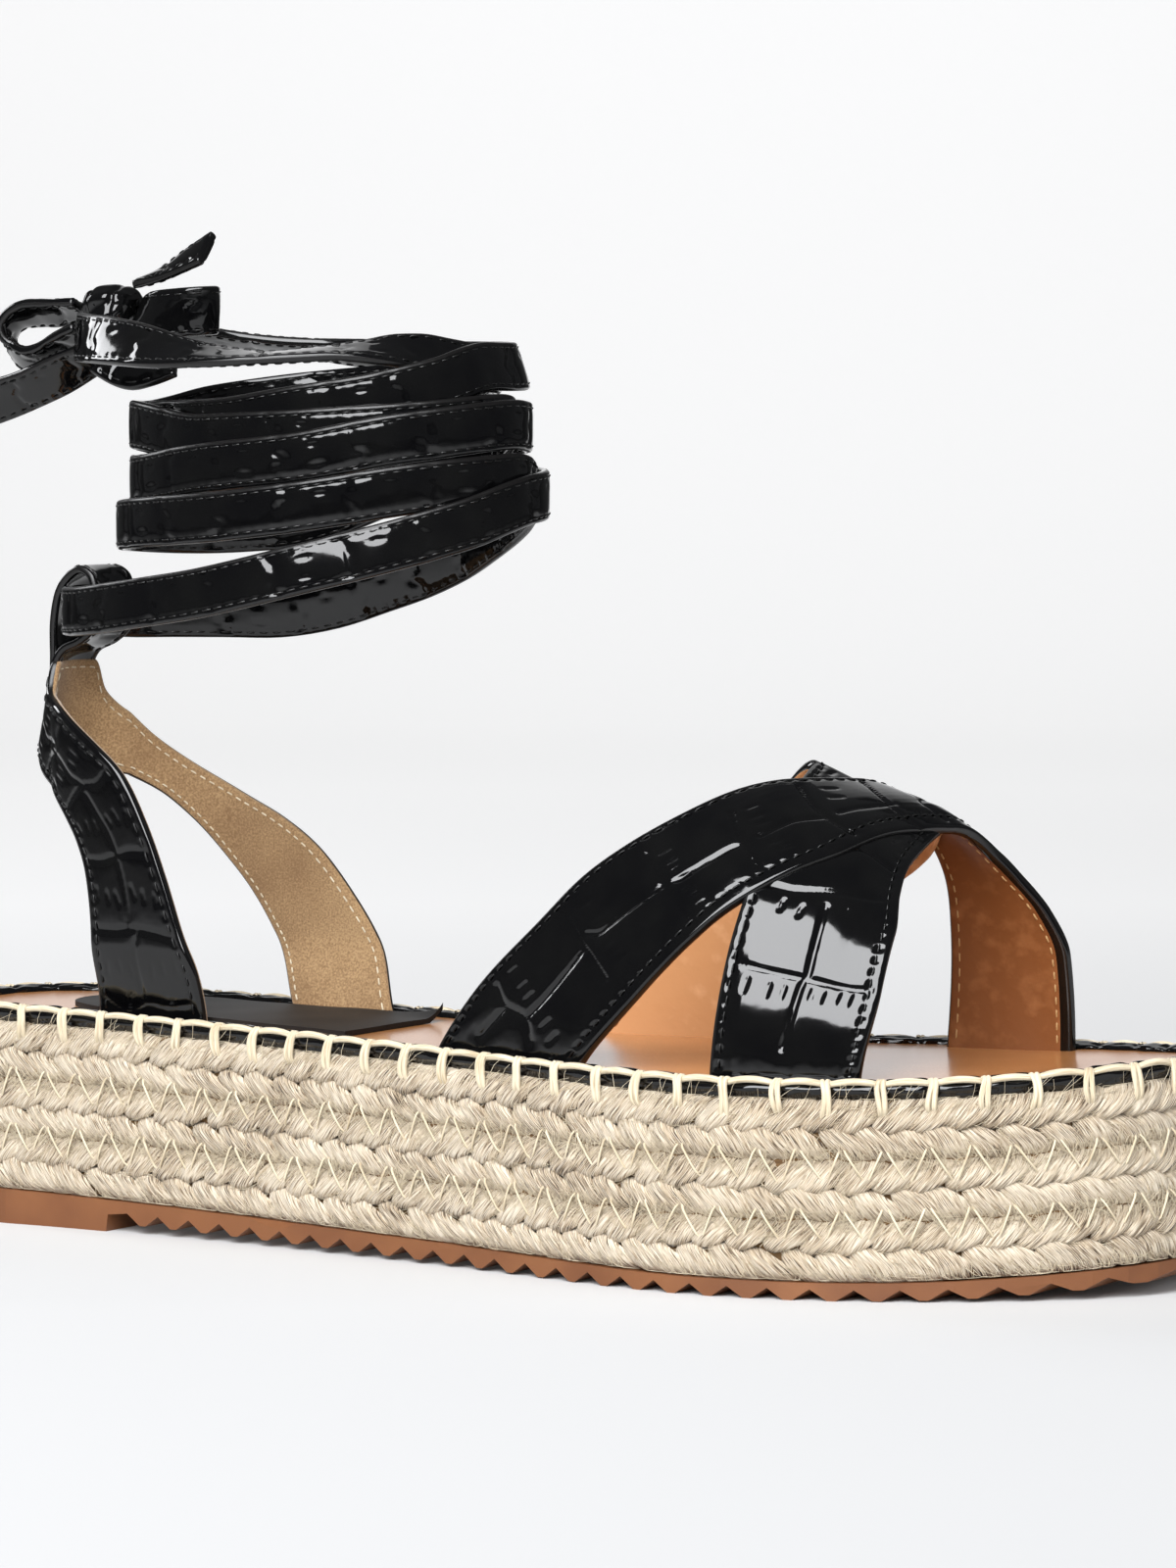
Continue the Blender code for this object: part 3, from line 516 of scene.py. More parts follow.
# %% Zig-zag joining stitches
ZIGZAG_PITCH = 7.5
ZIGZAG_ABOVE, ZIGZAG_BELOW = 2.8, -4.2
ZIGZAG_RADIUS = 0.21
corners = 2 * round(RIM_LENGTH / ZIGZAG_PITCH)
lower = np.arange(corners) % 2
t = np.linspace(0, 1, 6)[None, :]
paths, ups = [], []
for seam in (BRAID_STEP - 0.15, 2 * BRAID_STEP - 0.15):
    arc = RIM_LENGTH * np.arange(corners) / corners + dice.uniform(-0.35, 0.35, corners) + 0.9 * lower
    height = seam + np.where(lower, ZIGZAG_BELOW, ZIGZAG_ABOVE) + dice.uniform(-0.4, 0.4, corners)
    leg_arc = arc[:, None] + (np.roll(arc, -1) - arc)[:, None] % RIM_LENGTH * t
    leg_height = height[:, None] + (np.roll(height, -1) - height)[:, None] * t
    out = 0.05 + 0.5 * np.sin(math.pi * t) ** 0.6 - 0.9 * (np.abs(2 * t - 1) > 0.95)
    paths.append(on_sole(leg_arc, leg_height, out))
    ups.append(outward(leg_arc))
stitches = tubes(np.concatenate(paths), ZIGZAG_RADIUS, np.concatenate(ups), 6)
new_threads("zigzag_stitches", [stitches], thread)

# %% [markdown]
# Jute is hairy. Stray fibres lie over the strands, mostly along them. Some stand away from the side,
# and three in ten may reach up onto the binding. Each is a curve of four points with a three-sided
# section, and all of them are one mesh.

# %% Stray fibres
FIBRES = 9600
FIBRE_RADIUS = 0.055
STRAND_LEAN = math.radians(47)
start = dice.uniform(0, RIM_LENGTH, FIBRES)[:, None]
foot = dice.uniform(0.6, JUTE_TOP - 0.4, FIBRES)[:, None]
lean = np.where(np.mod(foot, BRAID_STEP) > BRAID_HEIGHT / 2, 1, -1) * STRAND_LEAN
lean = lean + dice.normal(0, 0.6, FIBRES)[:, None]
reach = dice.uniform(2.5, 9.0, FIBRES)[:, None]
t = np.linspace(0, 1, 4)[None, :]
curl = dice.normal(0, 0.9, FIBRES)[:, None] * t * (1 - t) * 2
arc = start + reach * t * np.cos(lean) + curl * np.sin(lean)
top = JUTE_TOP + np.where(dice.random(FIBRES) < 0.3, 3.2, 0.5)[:, None]
height = np.clip(foot + reach * t * np.sin(lean) - curl * np.cos(lean), 0.2, top)
stand = np.abs(dice.normal(0, 0.45, FIBRES))[:, None] * (dice.random(FIBRES) < 0.4)[:, None]
paths = on_sole(arc, height, -0.25 + 0.45 * np.sin(math.pi * t) + stand * t)
fibres = tubes(paths, FIBRE_RADIUS * (1 - 0.5 * t), outward(arc), 3)
new_threads("stray_fibres", [fibres], thread)

# %% [markdown]
# ## Outsole, insole and heel pad
#
# The outsole keeps the solid's shape: a copy of its mesh, with the edges that a mould can't make
# sharp rounded by 0.3 mm. The insole is a tan leather sheet tucked under the binding. The heel pad
# is a thin sheet of black leather, round at the back, whose front corner on the inner side has
# come unstuck and curls up.

# %% Outsole
outsole_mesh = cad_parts["outsole"].data.copy()
shaped = bmesh.new()
shaped.from_mesh(outsole_mesh)
bmesh.ops.remove_doubles(shaped, verts=shaped.verts, dist=0.01 * MM)
shaped.to_mesh(outsole_mesh)
shaped.free()
outsole_mesh.materials.clear()
outsole_mesh.materials.append(rubber)
outsole = put("rubber_outsole", outsole_mesh)
outsole.matrix_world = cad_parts["outsole"].matrix_world.copy()
soften = outsole.modifiers.new("moulded_edges", "BEVEL")
soften.width = 0.3 * MM
soften.segments = 2
soften.limit_method = "ANGLE"
soften.angle_limit = math.radians(40)
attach(outsole, "root")
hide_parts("outsole")

# %% Insole and heel pad
HEEL_CENTRE = 22.0
INSOLE_TUCK = 3.4
INSOLE_GRID = (170, 50)
PAD_INSET = 9.5
PAD_BACK, PAD_ROUND, PAD_FRONT = 24.0, 17.0, 95.5
PAD_THICK = 1.0
PAD_CURL = 2.6
PAD_GRID = (90, 60)


def lid(inset, grid, x_back=-999, x_front=999):
    """x and y of a grid that fills the outline moved in by inset, from x_back to x_front."""
    ring = rim - inset * rim_out
    first = max(x_back, ring[:, 0].min() + 0.02)
    last = min(x_front, ring[:, 0].max() - 0.02)
    x = first + (last - first) * (1 - np.cos(np.linspace(0, math.pi, grid[0])))[:, None] / 2
    outer, inner = side_y(inset, x, -1), side_y(inset, x, 1)
    return np.broadcast_arrays(x, outer + (inner - outer) * np.linspace(0, 1, grid[1]))


x, y = lid(INSOLE_TUCK, INSOLE_GRID)
points = xyz(x, y, underside(x) + INSOLE_TOP + 0.08 * ripple(x, y, 24, 3))
insole = new_piece("calf_insole", points, grid_quads(*INSOLE_GRID)[:, ::-1], [insole_calf])
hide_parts("insole")

x, y = lid(PAD_INSET, PAD_GRID, PAD_BACK - HEEL_CENTRE, PAD_FRONT - HEEL_CENTRE)
round_back = 1 - np.clip(1 - (x[:, :1] + HEEL_CENTRE - PAD_BACK) / PAD_ROUND, 0, 1) ** 2
middle = y.mean(axis=1, keepdims=True)
y = middle + (y - middle) * np.sqrt(round_back + 1e-4)
inner_corner = np.clip((np.linspace(-1, 1, PAD_GRID[1]) - 0.62) / 0.38, 0, 1) ** 2
curl = PAD_CURL * np.linspace(0, 1, PAD_GRID[0])[:, None] ** 8 * inner_corner
top = underside(x) + INSOLE_TOP + PAD_THICK + 0.06 * ripple(x, y, 18, 5) + curl
low = np.where(curl > 0.3, top - PAD_THICK, underside(x) + INSOLE_TOP + 0.05)
border = [np.s_[:, 0], np.s_[-1, :], np.s_[::-1, -1], np.s_[0, ::-1]]
rings = [np.concatenate([xyz(x, y, z)[b] for b in border]) for z in (top, low)]
points = np.concatenate([xyz(x, y, top).reshape(-1, 3), *rings])
wall_quads = grid_quads(2, len(rings[0]), round_columns=True)[:, ::-1] + x.size
quads = np.concatenate([grid_quads(*PAD_GRID)[:, ::-1], wall_quads])
pad = new_piece("black_heel_pad", points, quads, [black_calf])
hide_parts("heel_pad")

# %% [markdown]
# ## Binding and its blanket stitch
#
# A strip of black patent is folded round the top edge of the jute and sewn down by hand with thick
# pale cord. The cord runs along the strip's upper outer edge and turns down over it every 9 mm. It
# pulls the soft strip in at each stitch, so the strip bulges between, and its folds run lengthwise.

# %% Binding
STITCH_PITCH = 9.2
BINDING_STEPS = 720
BINDING_RADIUS, BINDING_OUT, BINDING_HEIGHT = 1.75, -2.3, 33.1
stitches = round(RIM_LENGTH / STITCH_PITCH)
stitch_arc = RIM_LENGTH * (np.arange(stitches) + 0.35) / stitches
turn = np.linspace(0, 2 * math.pi, 30, endpoint=False)
arc = np.linspace(0, RIM_LENGTH, BINDING_STEPS, endpoint=False)[:, None]
phase = np.mod(arc - stitch_arc[0], RIM_LENGTH / stitches) / (RIM_LENGTH / stitches)
pinch = np.exp(-((np.minimum(phase, 1 - phase) / 0.11) ** 2))
fold = 0.17 * np.cos(5 * turn + 0.6 * ripple(arc, 0, 22, 8)) + 0.12 * ripple(arc / 2.5, 3 * turn, 2.2, 9)
out = BINDING_OUT + (BINDING_RADIUS + fold - 0.34 * pinch) * np.cos(turn)
height = BINDING_HEIGHT + (BINDING_RADIUS + fold - 0.36 * pinch) * np.sin(turn)
quads = grid_quads(BINDING_STEPS, len(turn), round_columns=True, round_rows=True)
binding = new_piece("patent_binding", on_sole(arc, height, out), quads, [patent])
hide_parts("binding")

# %% Blanket stitch in thick cord
# Each down-stitch is two plies side by side, 2 mm wide together. The top run bulges between them.
DOWN_PLY = 0.44
CORD_RADIUS = 0.52
Down = namedtuple("Down", "out height")
DOWN_LINE = [Down(*spot) for spot in (
    (-1.6, 34.4), (-0.9, 34.6), (-0.15, 34.0), (0.2, 32.8), (0.35, 31.2), (0.25, 29.8), (-0.7, 28.4)
)]
fine = np.linspace(0, len(DOWN_LINE) - 1, 13)
out_line, height_line = (through(values, fine) for values in np.array(DOWN_LINE).T)
jitter = dice.uniform(-0.35, 0.35, stitches)
low_jitter = dice.uniform(-0.9, 0.7, stitches)[:, None] * (fine / fine[-1]) ** 2
down_arc = (stitch_arc + jitter)[:, None] + 0.25 * np.sin(fine + jitter[:, None] * 9)
parts = []
for ply in (-1, 1):
    ply_arc = down_arc + ply * (DOWN_PLY - 0.12 * np.sin(fine + 5 * jitter[:, None]))
    down = on_sole(ply_arc, height_line + low_jitter, out_line)
    parts.append(tubes(down, DOWN_PLY * 1.15, outward(ply_arc), 8))
t = np.linspace(0, 1, 11)[None, :]
gap = (np.roll(stitch_arc, -1) - stitch_arc) % RIM_LENGTH
top_arc = (stitch_arc + jitter)[:, None] + (gap + np.roll(jitter, -1) - jitter)[:, None] * t
bulge = np.sin(math.pi * t) ** 0.7
top_out = -1.15 + (0.5 + dice.uniform(-0.12, 0.12, stitches)[:, None]) * bulge
top_height = 33.8 + (0.75 + dice.uniform(-0.1, 0.15, stitches)[:, None]) * bulge
parts.append(tubes(on_sole(top_arc, top_height, top_out), CORD_RADIUS + 0.1 * bulge, outward(top_arc), 8))
new_threads("blanket_stitch", parts, thread)

# %% [markdown]
# ## Leather straps
#
# All the patent pieces are made the same way. A strap starts as a "skin", the grid of its outer
# surface. The function below walks along it and puts a closed section at every step: over the
# face, round the painted edge, back along the lining and round again. The pressed scale pattern
# is a set of short lines in strap coordinates, millimetres along and share of the width across.
# Every point sinks by how near it is to a line, which gives soft troughs with pillows between.


# %% Skins, marks and relief
def between(grid, row, column):
    """Points of a grid at fractional rows and columns."""
    rows, columns = grid.shape[:2]
    row, column = np.broadcast_arrays(np.clip(row, 0, rows - 1.001), np.clip(column, 0, columns - 1.001))
    r, c = row.astype(int), column.astype(int)
    a, b = (row - r)[..., None], (column - c)[..., None]
    near = (1 - b) * grid[r, c] + b * grid[r, c + 1]
    far = (1 - b) * grid[r + 1, c] + b * grid[r + 1, c + 1]
    return (1 - a) * near + a * far


def lengths(skin):
    """Distance along a skin's middle at each row, and the width of each row."""
    return walked(skin[:, skin.shape[1] // 2]), walked(skin)[:, -1]


def facing(skin):
    """Directions straight out of a skin's face."""
    return unit(np.cross(np.gradient(skin, axis=1), np.gradient(skin, axis=0)))


def on_skin(skin, along, share, values=None):
    """Points, or other values of the grid, at a distance along the skin and a share across."""
    row = np.interp(along, lengths(skin)[0], range(len(skin)))
    return between(skin if values is None else values, row, np.asarray(share) * (skin.shape[1] - 1))


def nearness(skin, lines, points, reaches):
    """How near each point is to one of the lines: 1 on a line, fading over each reach in mm."""
    spots = []
    for line in lines:
        step = np.linspace(0, len(line) - 1, 1 + 12 * (len(line) - 1))
        curve = through if len(line) > 2 else (lambda values, at: np.interp(at, [0, 1], values))
        spots.append(on_skin(skin, *(curve(values, step) for values in np.array(line, float).T)))
    spots = np.concatenate(spots)
    tree = KDTree(len(spots))
    for i, spot in enumerate(spots):
        tree.insert(spot, i)
    tree.balance()
    gap = np.array([tree.find(p)[2] for p in points.reshape(-1, 3)]).reshape(points.shape[:-1])
    return [np.exp(-((gap / reach) ** 2)) for reach in reaches]


def scale_lines(first, last, pitch, seed, width, lean=0.0):
    """Cross creases, a crease along the middle and dashes between, for the length from first to last."""
    dice = np.random.default_rng(seed)
    creases, dashes = [], []
    s = first
    while s < last:
        wave = dice.uniform(-0.09, 0.09, 5) * pitch
        v = np.array([0.1, 0.3, 0.5, 0.7, 0.9])
        creases.append(list(zip(s + wave + lean * (v - 0.5) * width, v)))
        if width > 15:
            middle = 0.5 + dice.uniform(-0.05, 0.05, 4)
            creases.append(list(zip(s + pitch * np.array([0.05, 0.35, 0.65, 0.97]), middle)))
            shares = (0.16, 0.29, 0.4, 0.6, 0.71, 0.84)
        else:
            shares = (0.3, 0.7)[: dice.integers(0, 3)]
        for share in shares:
            at = s + pitch * (0.5 + dice.uniform(-0.05, 0.05)) + lean * (share - 0.5) * width
            half = dice.uniform(0.7, 1.1) * min(1, width / 18)
            tilt = dice.uniform(-0.012, 0.012)
            dashes.append([(at - half, share - tilt), (at + half, share + tilt)])
        s += pitch * dice.uniform(0.94, 1.08)
    return creases, dashes


# %% From a skin to a strap
EDGE_STEPS = 4
TURNED_COLUMNS = 4
CREASE_REACH, PILLOW_REACH, DASH_REACH, SEAM_REACH = 0.5, 1.9, 0.45, 0.55
SEAM_PITCH = 2.6


def section(thickness, radius, outer, inner):
    """A closed strap section as share of the flat width, shift off its end, and depth."""
    bend = np.linspace(0, math.pi / 2, EDGE_STEPS)[1:]
    shift = radius * np.concatenate([np.sin(bend), np.sin(bend)[::-1]])
    down = radius * (1 - np.cos(bend))
    down = np.concatenate([down, thickness - down[::-1]])
    share = np.concatenate([np.linspace(0, 1, outer), 0 * down + 1, np.linspace(1, 0, inner), 0 * down])
    shift = np.concatenate([np.zeros(outer), shift, np.zeros(inner), -shift[::-1]])
    depth = np.concatenate([np.zeros(outer), down, np.full(inner, thickness), down[::-1]])
    return share, shift, depth


def strap(name, skin, thickness, marks, lining, step=0.5, outer=70, inner=16, radius=0.8,
          seams=(2.0, -2.0), deep=0.42, crown=0.0, two_faced=False, turned_over=False):
    """A patent strap round a skin, with its relief. outer and inner are points across its sides.

    A two-faced strap is pressed on both sides and closed at its ends. On a turned-over one the
    patent goes 2 mm over the front edge, onto the lining of the second half."""
    creases, dashes = marks
    along, wide = lengths(skin)
    s = np.linspace(0, along[-1], round(along[-1] / step) + 1)[:, None]
    width = np.interp(s, along, wide)
    share, shift, depth = section(thickness, radius, outer, inner)
    v = (radius + shift + share * (width - 2 * radius)) / width
    base = on_skin(skin, s, v)
    face = unit(on_skin(skin, s, v, facing(skin)))
    crease, pillow = nearness(skin, creases, base, (CREASE_REACH, PILLOW_REACH))
    dash = nearness(skin, dashes, base, (DASH_REACH,))[0] if dashes else 0 * crease
    relief = -deep * (crease + 0.3 * pillow + 0.55 * dash)
    for seam in seams:
        from_edge = np.where(seam > 0, width * v, width * (v - 1)) - seam
        line = np.exp(-((from_edge / SEAM_REACH) ** 2))
        relief -= deep * line * (0.32 + 0.3 * np.cos(2 * math.pi * s / SEAM_PITCH))
    pressed = np.clip(1 - depth / radius, 0, 1)
    if two_faced:
        pressed = pressed - np.clip(1 - (thickness - depth) / radius, 0, 1)
    rounded = crown * (1 - (2 * v - 1) ** 2) * np.where(depth < thickness / 2, 1, -1)
    points = base + (relief * pressed + rounded - depth)[..., None] * face
    sections = points.shape[1]
    quads = grid_quads(len(points), sections, round_columns=True)
    lined = outer + EDGE_STEPS - 1
    use = np.zeros((len(points) - 1, sections), int)
    use[:, lined : lined + EDGE_STEPS - 1 + inner] = 1
    use[:, outer + 1 : lined] = 2
    use[:, 1 - EDGE_STEPS :] = 2
    if turned_over:
        use[len(use) // 2 :, lined : lined + TURNED_COLUMNS] = 0
    use = use.ravel()
    if two_faced:
        first = np.arange(sections // 2 - 1)
        cap = np.stack([first, first + 1, sections - 2 - first, sections - 1 - first], axis=1)
        quads = np.concatenate([quads, cap[:, ::-1], cap + (len(points) - 1) * sections])
        use = np.concatenate([use, np.zeros(2 * len(cap), int)])
    return new_piece(name, points, quads, [patent, lining, edge_paint], faces_use=use)


STITCH_SHARE = 0.74
STITCH_SINK, STITCH_LIFT = 0.32, 0.02
SEAM_ENDS = 3.0


def seam_threads(skin, from_edges, pitch, radius, inner=None):
    """Rows of stitches, one for each distance from the rear (positive) or front (negative) edge."""
    along, wide = lengths(skin)
    t = np.linspace(-0.5, 0.5, 5)[None, :]
    s = np.arange(SEAM_ENDS, along[-1] - SEAM_ENDS, pitch)[:, None] + STITCH_SHARE * pitch * t
    width = np.interp(s, along, wide)
    depth = STITCH_SINK * (2 * t) ** 4 - STITCH_LIFT
    if inner is not None:
        depth = inner + 2 * STITCH_LIFT - depth
    share = np.concatenate([(edge if edge > 0 else width + edge) / width for edge in from_edges])
    s, depth = np.concatenate([s] * len(from_edges)), depth[..., None]
    up = unit(on_skin(skin, s, share, facing(skin)))
    return tubes(on_skin(skin, s, share) - depth * up, radius, up, 3)


# %% [markdown]
# ## Vamp: two crossing straps
#
# The two straps arch from the sole's outer edge over the instep to its inner edge and cross there.
# Each is described by where its rear and front edges stand at each turn, from 0 at the outer foot
# to 1 at the inner foot. Near the outer foot the marks follow the embossing plate: creases every
# 16 mm with a broken crease between them. The inner side repeats that rhythm.

# %% Vamp skins
STRAP_THICKNESS = 2.2
VAMP_INSET = 5.5
CREST_SHIFT = 10.0
ROUND_OUTER, OVER_ROUND_INNER, UNDER_ROUND_INNER = 2.2, 2.1, 1.8
FOOT_DROP = 3.2
Edge = namedtuple("Edge", "turn rear front")
VAMP_HEIGHTS = [
    (115, 54.0), (140, 54.0), (160, 53.5), (178, 52.7), (188, 50.0), (199, 46.0), (207, 41.0), (215, 39.5)
]
OVER_STRAP = [Edge(*row) for row in (
    (0.00, 120.0, 153.8), (0.06, 128.8, 164.5), (0.14, 142.0, 176.5), (0.20, 150.0, 184.8),
    (0.25, 157.5, 191.2), (0.31, 166.2, 197.5), (0.38, 174.5, 201.0), (0.44, 182.5, 203.5),
    (0.50, 186.5, 205.0), (0.60, 189.5, 206.0), (0.70, 192.5, 209.0), (0.78, 193.5, 213.0),
    (0.86, 192.8, 215.5), (1.00, 191.0, 215.5),
)]
UNDER_STRAP = [Edge(*row) for row in (
    (0.00, 182.0, 209.0), (0.12, 183.6, 211.0), (0.22, 184.3, 210.4), (0.30, 183.6, 207.9),
    (0.36, 183.0, 206.2), (0.42, 181.2, 205.2), (0.50, 178.6, 203.2), (0.60, 172.0, 199.4),
    (0.70, 163.0, 194.0), (0.80, 151.0, 182.0), (0.90, 138.0, 167.0), (1.00, 127.0, 152.0),
)]
LEVEL = [(0.0, 0.0), (1.0, 0.0)]
UNDER_DEPTH = [(0.0, 0.0), (0.2, 1.4), (0.74, 1.4), (0.92, 0.0), (1.0, 0.0)]
UNDER_REAR_LIFT = [(0.0, 0.0), (0.42, 0.0), (0.54, 2.4), (0.64, 2.4), (0.74, 0.0), (1.0, 0.0)]


def vamp_skin(edges, round_inner, depth, rear_lift):
    """A strap's arch: depth lowers it under the other one, rear_lift raises its rear edge."""
    turn = np.linspace(0, 1, 241)
    rear = smooth([(edge.turn, edge.rear) for edge in edges], turn)[:, None]
    front = smooth([(edge.turn, edge.front) for edge in edges], turn)[:, None]
    across = np.linspace(0, 1, 13)[None, :]
    station = rear + (front - rear) * across
    x = station - HEEL_CENTRE
    angle = math.pi * turn[:, None] + 0 * station
    outer, inner = side_y(VAMP_INSET, x, -1), side_y(VAMP_INSET, x, 1)
    crest = (outer + inner) / 2 + CREST_SHIFT
    outside = np.cos(angle) > 0
    power = 2 / np.where(outside, ROUND_OUTER, round_inner)
    y = crest + np.where(outside, outer - crest, inner - crest) * np.abs(np.cos(angle)) ** power
    sunk = smooth(depth, turn)[:, None] - smooth(rear_lift, turn)[:, None] * (1 - across) ** 3
    rise = (smooth(VAMP_HEIGHTS, station) - sunk) * np.abs(np.sin(angle)) ** power
    skin = xyz(x, y, underside(x) + INSOLE_TOP + 0.3 + rise)
    foot = (0, 0, FOOT_DROP)
    return np.concatenate([skin[:1] - foot, skin, skin[-1:] - foot])


over_skin = vamp_skin(OVER_STRAP, OVER_ROUND_INNER, LEVEL, LEVEL)
under_skin = vamp_skin(UNDER_STRAP, UNDER_ROUND_INNER, UNDER_DEPTH, UNDER_REAR_LIFT)
print("strap lengths:", [round(lengths(skin)[0][-1]) for skin in (over_skin, under_skin)])

# %% Marks of the embossing plate on the vamp, as (mm along from the outer foot, share across)
DASH_HALF = 0.9
OVER_CREASES = [
    [(4, 0.58), (9.6, 0.43), (11.4, 0.28), (16, 0.12)],
    [(11.4, 0.28), (4, 0.24)],
    [(10, 0.46), (16, 0.48), (22.5, 0.47), (27, 0.45)],
    [(20.7, 0.74), (26, 0.52), (27.7, 0.44), (31.5, 0.28), (35, 0.11)],
    [(31, 0.37), (31.5, 0.44), (37.6, 0.48), (44.4, 0.53)],
    [(37.6, 0.85), (45.3, 0.5), (52.6, 0.2)],
    [(46, 0.56), (52, 0.59), (58, 0.61)],
    [(53, 0.86), (58, 0.63), (67, 0.28)],
    [(62, 0.61), (68.6, 0.6), (73.4, 0.68)],
    [(71.8, 0.92), (73.8, 0.69), (75.4, 0.59), (83, 0.17)],
    [(77, 0.68), (83, 0.67), (90, 0.67)],
    [(87.8, 0.99), (88, 0.81), (90.4, 0.61), (97, 0.15)],
]
OVER_DASHES = [
    (20, 0.14), (16.6, 0.28), (14.3, 0.37), (8.4, 0.6), (5.3, 0.71),
    (38, 0.19), (35, 0.33), (29.3, 0.55), (27.7, 0.64), (26.5, 0.72),
    (53.6, 0.27), (51.2, 0.39), (49.2, 0.48), (47.3, 0.58), (44.8, 0.67), (43.4, 0.75), (41.5, 0.84),
    (69.8, 0.32), (67.3, 0.43), (65.7, 0.51), (61.7, 0.71), (61.2, 0.79),
    (86, 0.28), (82.7, 0.46),
]
UNDER_CREASES = [
    [(6, 0.49), (11, 0.51), (17, 0.53), (20, 0.56), (26.5, 0.56), (32.7, 0.55)],
    [(19.3, 0.06), (18.6, 0.35), (18.5, 0.6), (19.0, 0.94)],
    [(34, 0.1), (34, 0.27), (36.4, 0.59), (39.9, 0.89)],
]
UNDER_DASHES = [
    (30.9, 0.27), (30.6, 0.4), (33, 0.67), (34, 0.79), (34.7, 0.87),
    (15.8, 0.17), (15.4, 0.32), (15.4, 0.42), (15.8, 0.6), (15.8, 0.69), (16.5, 0.78), (16.5, 0.85),
]


def vamp_marks(creases, dashes, repeated):
    """The outer side's marks, moved up past the foot, and the repeated ones of the inner side."""
    dashes = [[(s - DASH_HALF, v), (s + DASH_HALF, v + 0.01)] for s, v in dashes]
    lines = [[[(s + FOOT_DROP, v) for s, v in line] for line in some] for some in (creases, dashes)]
    return lines[0] + repeated[0], lines[1] + repeated[1]


over_marks = vamp_marks(OVER_CREASES, OVER_DASHES, scale_lines(105, 168, 16, 21, 26, lean=-0.35))
under_marks = vamp_marks(UNDER_CREASES, UNDER_DASHES, scale_lines(52, 158, 16, 22, 28))

# %% Vamp straps and their seams
EVEN_SEAMS = (2.0, -2.0)
OVER_SEAMS, OVER_LINING_SEAMS = (1.8, -3.3), (1.8, -3.0)
# Its lining is the darker calf copy, painted shade.
over = strap("vamp_over_strap", over_skin, STRAP_THICKNESS, over_marks, shaded_calf, seams=OVER_SEAMS,
             turned_over=True)
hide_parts("vamp_cross_straps")
strap("vamp_under_strap", under_skin, STRAP_THICKNESS, under_marks, calf)
for name, over_seams, inner, cotton in (
    ("vamp_seams", OVER_SEAMS, None, black_thread),
    ("vamp_lining_seams", OVER_LINING_SEAMS, STRAP_THICKNESS, tan_thread),
):
    rows = [
        seam_threads(skin, seams, SEAM_PITCH, 0.2, inner)
        for skin, seams in ((over_skin, over_seams), (under_skin, EVEN_SEAMS))
    ]
    new_threads(name, rows, cotton)

# %% [markdown]
# ## Heel quarter and its loop
#
# The quarter is one band bent round the heel: it stands on the sole at both sides, sweeps up and
# back, and narrows to a neck behind the ankle. Each cut across it gives its lower and upper edge,
# u round from the back and z up. Outside it is embossed patent, inside tan suede, with a row of
# pale stitches near both edges of the suede. A folded patent tab, sewn in at the neck, makes the
# loop for the tie.

# %% Quarter
QUARTER_BACK = 20.0
QUARTER_DEPTH = 28.0
QUARTER_HALF_WIDTH = 22.0
BASE_BLEND, BASE_REACH = 14.0, 20.0
NECK_TOP, NECK_HEIGHT = 106.0, 16.0
NECK_FLARE, FLARE_REACH = 4.2, 14.0
QUARTER_THICKNESS = 2.0
Cut = namedtuple("Cut", "u_low z_low u_high z_high")
OUTER_CUTS = [Cut(*row) for row in (
    (-30.4, 36.8, -56.0, 36.4), (-31.0, 48.0, -54.8, 48.5), (-30.7, 57.0, -51.6, 57.0),
    (-29.4, 66.0, -48.0, 67.0), (-26.5, 72.5, -44.0, 76.5), (-21.4, 77.6, -38.6, 85.7),
    (-15.0, 81.5, -31.0, 91.5), (-9.0, 85.0, -20.0, 97.0), (-4.5, 88.0, -10.5, 100.3),
    (-2.0, 89.3, -6.6, 106.0),
)]
BACK_CUT = Cut(0.0, 89.6, 0.0, 106.3)
INNER_CUTS = [Cut(*row) for row in (
    (2.0, 89.3, 6.6, 106.0), (5.0, 87.5, 10.5, 99.5), (10.0, 85.0, 15.5, 94.5),
    (14.5, 83.0, 20.0, 90.5), (20.5, 80.0, 27.0, 85.8), (27.5, 74.5, 37.0, 80.5),
    (34.6, 67.4, 47.5, 75.4), (40.0, 61.5, 54.7, 70.5), (44.5, 55.0, 62.5, 62.0),
    (48.5, 47.5, 69.5, 51.5), (52.8, 36.4, 75.2, 36.0),
)]


def quarter_plan(u):
    """x and y of the quarter at a distance u round from the back."""
    angle = np.linspace(0, math.pi / 2, 60)
    x = QUARTER_BACK - HEEL_CENTRE + QUARTER_DEPTH * (1 - np.cos(angle))
    y = QUARTER_HALF_WIDTH * np.sin(angle)
    arc = walked(np.stack([x, y], axis=1))
    beyond = np.maximum(0, np.abs(u) - arc[-1])
    return np.interp(np.abs(u), arc, x) + beyond, np.sign(u) * np.interp(np.abs(u), arc, y)


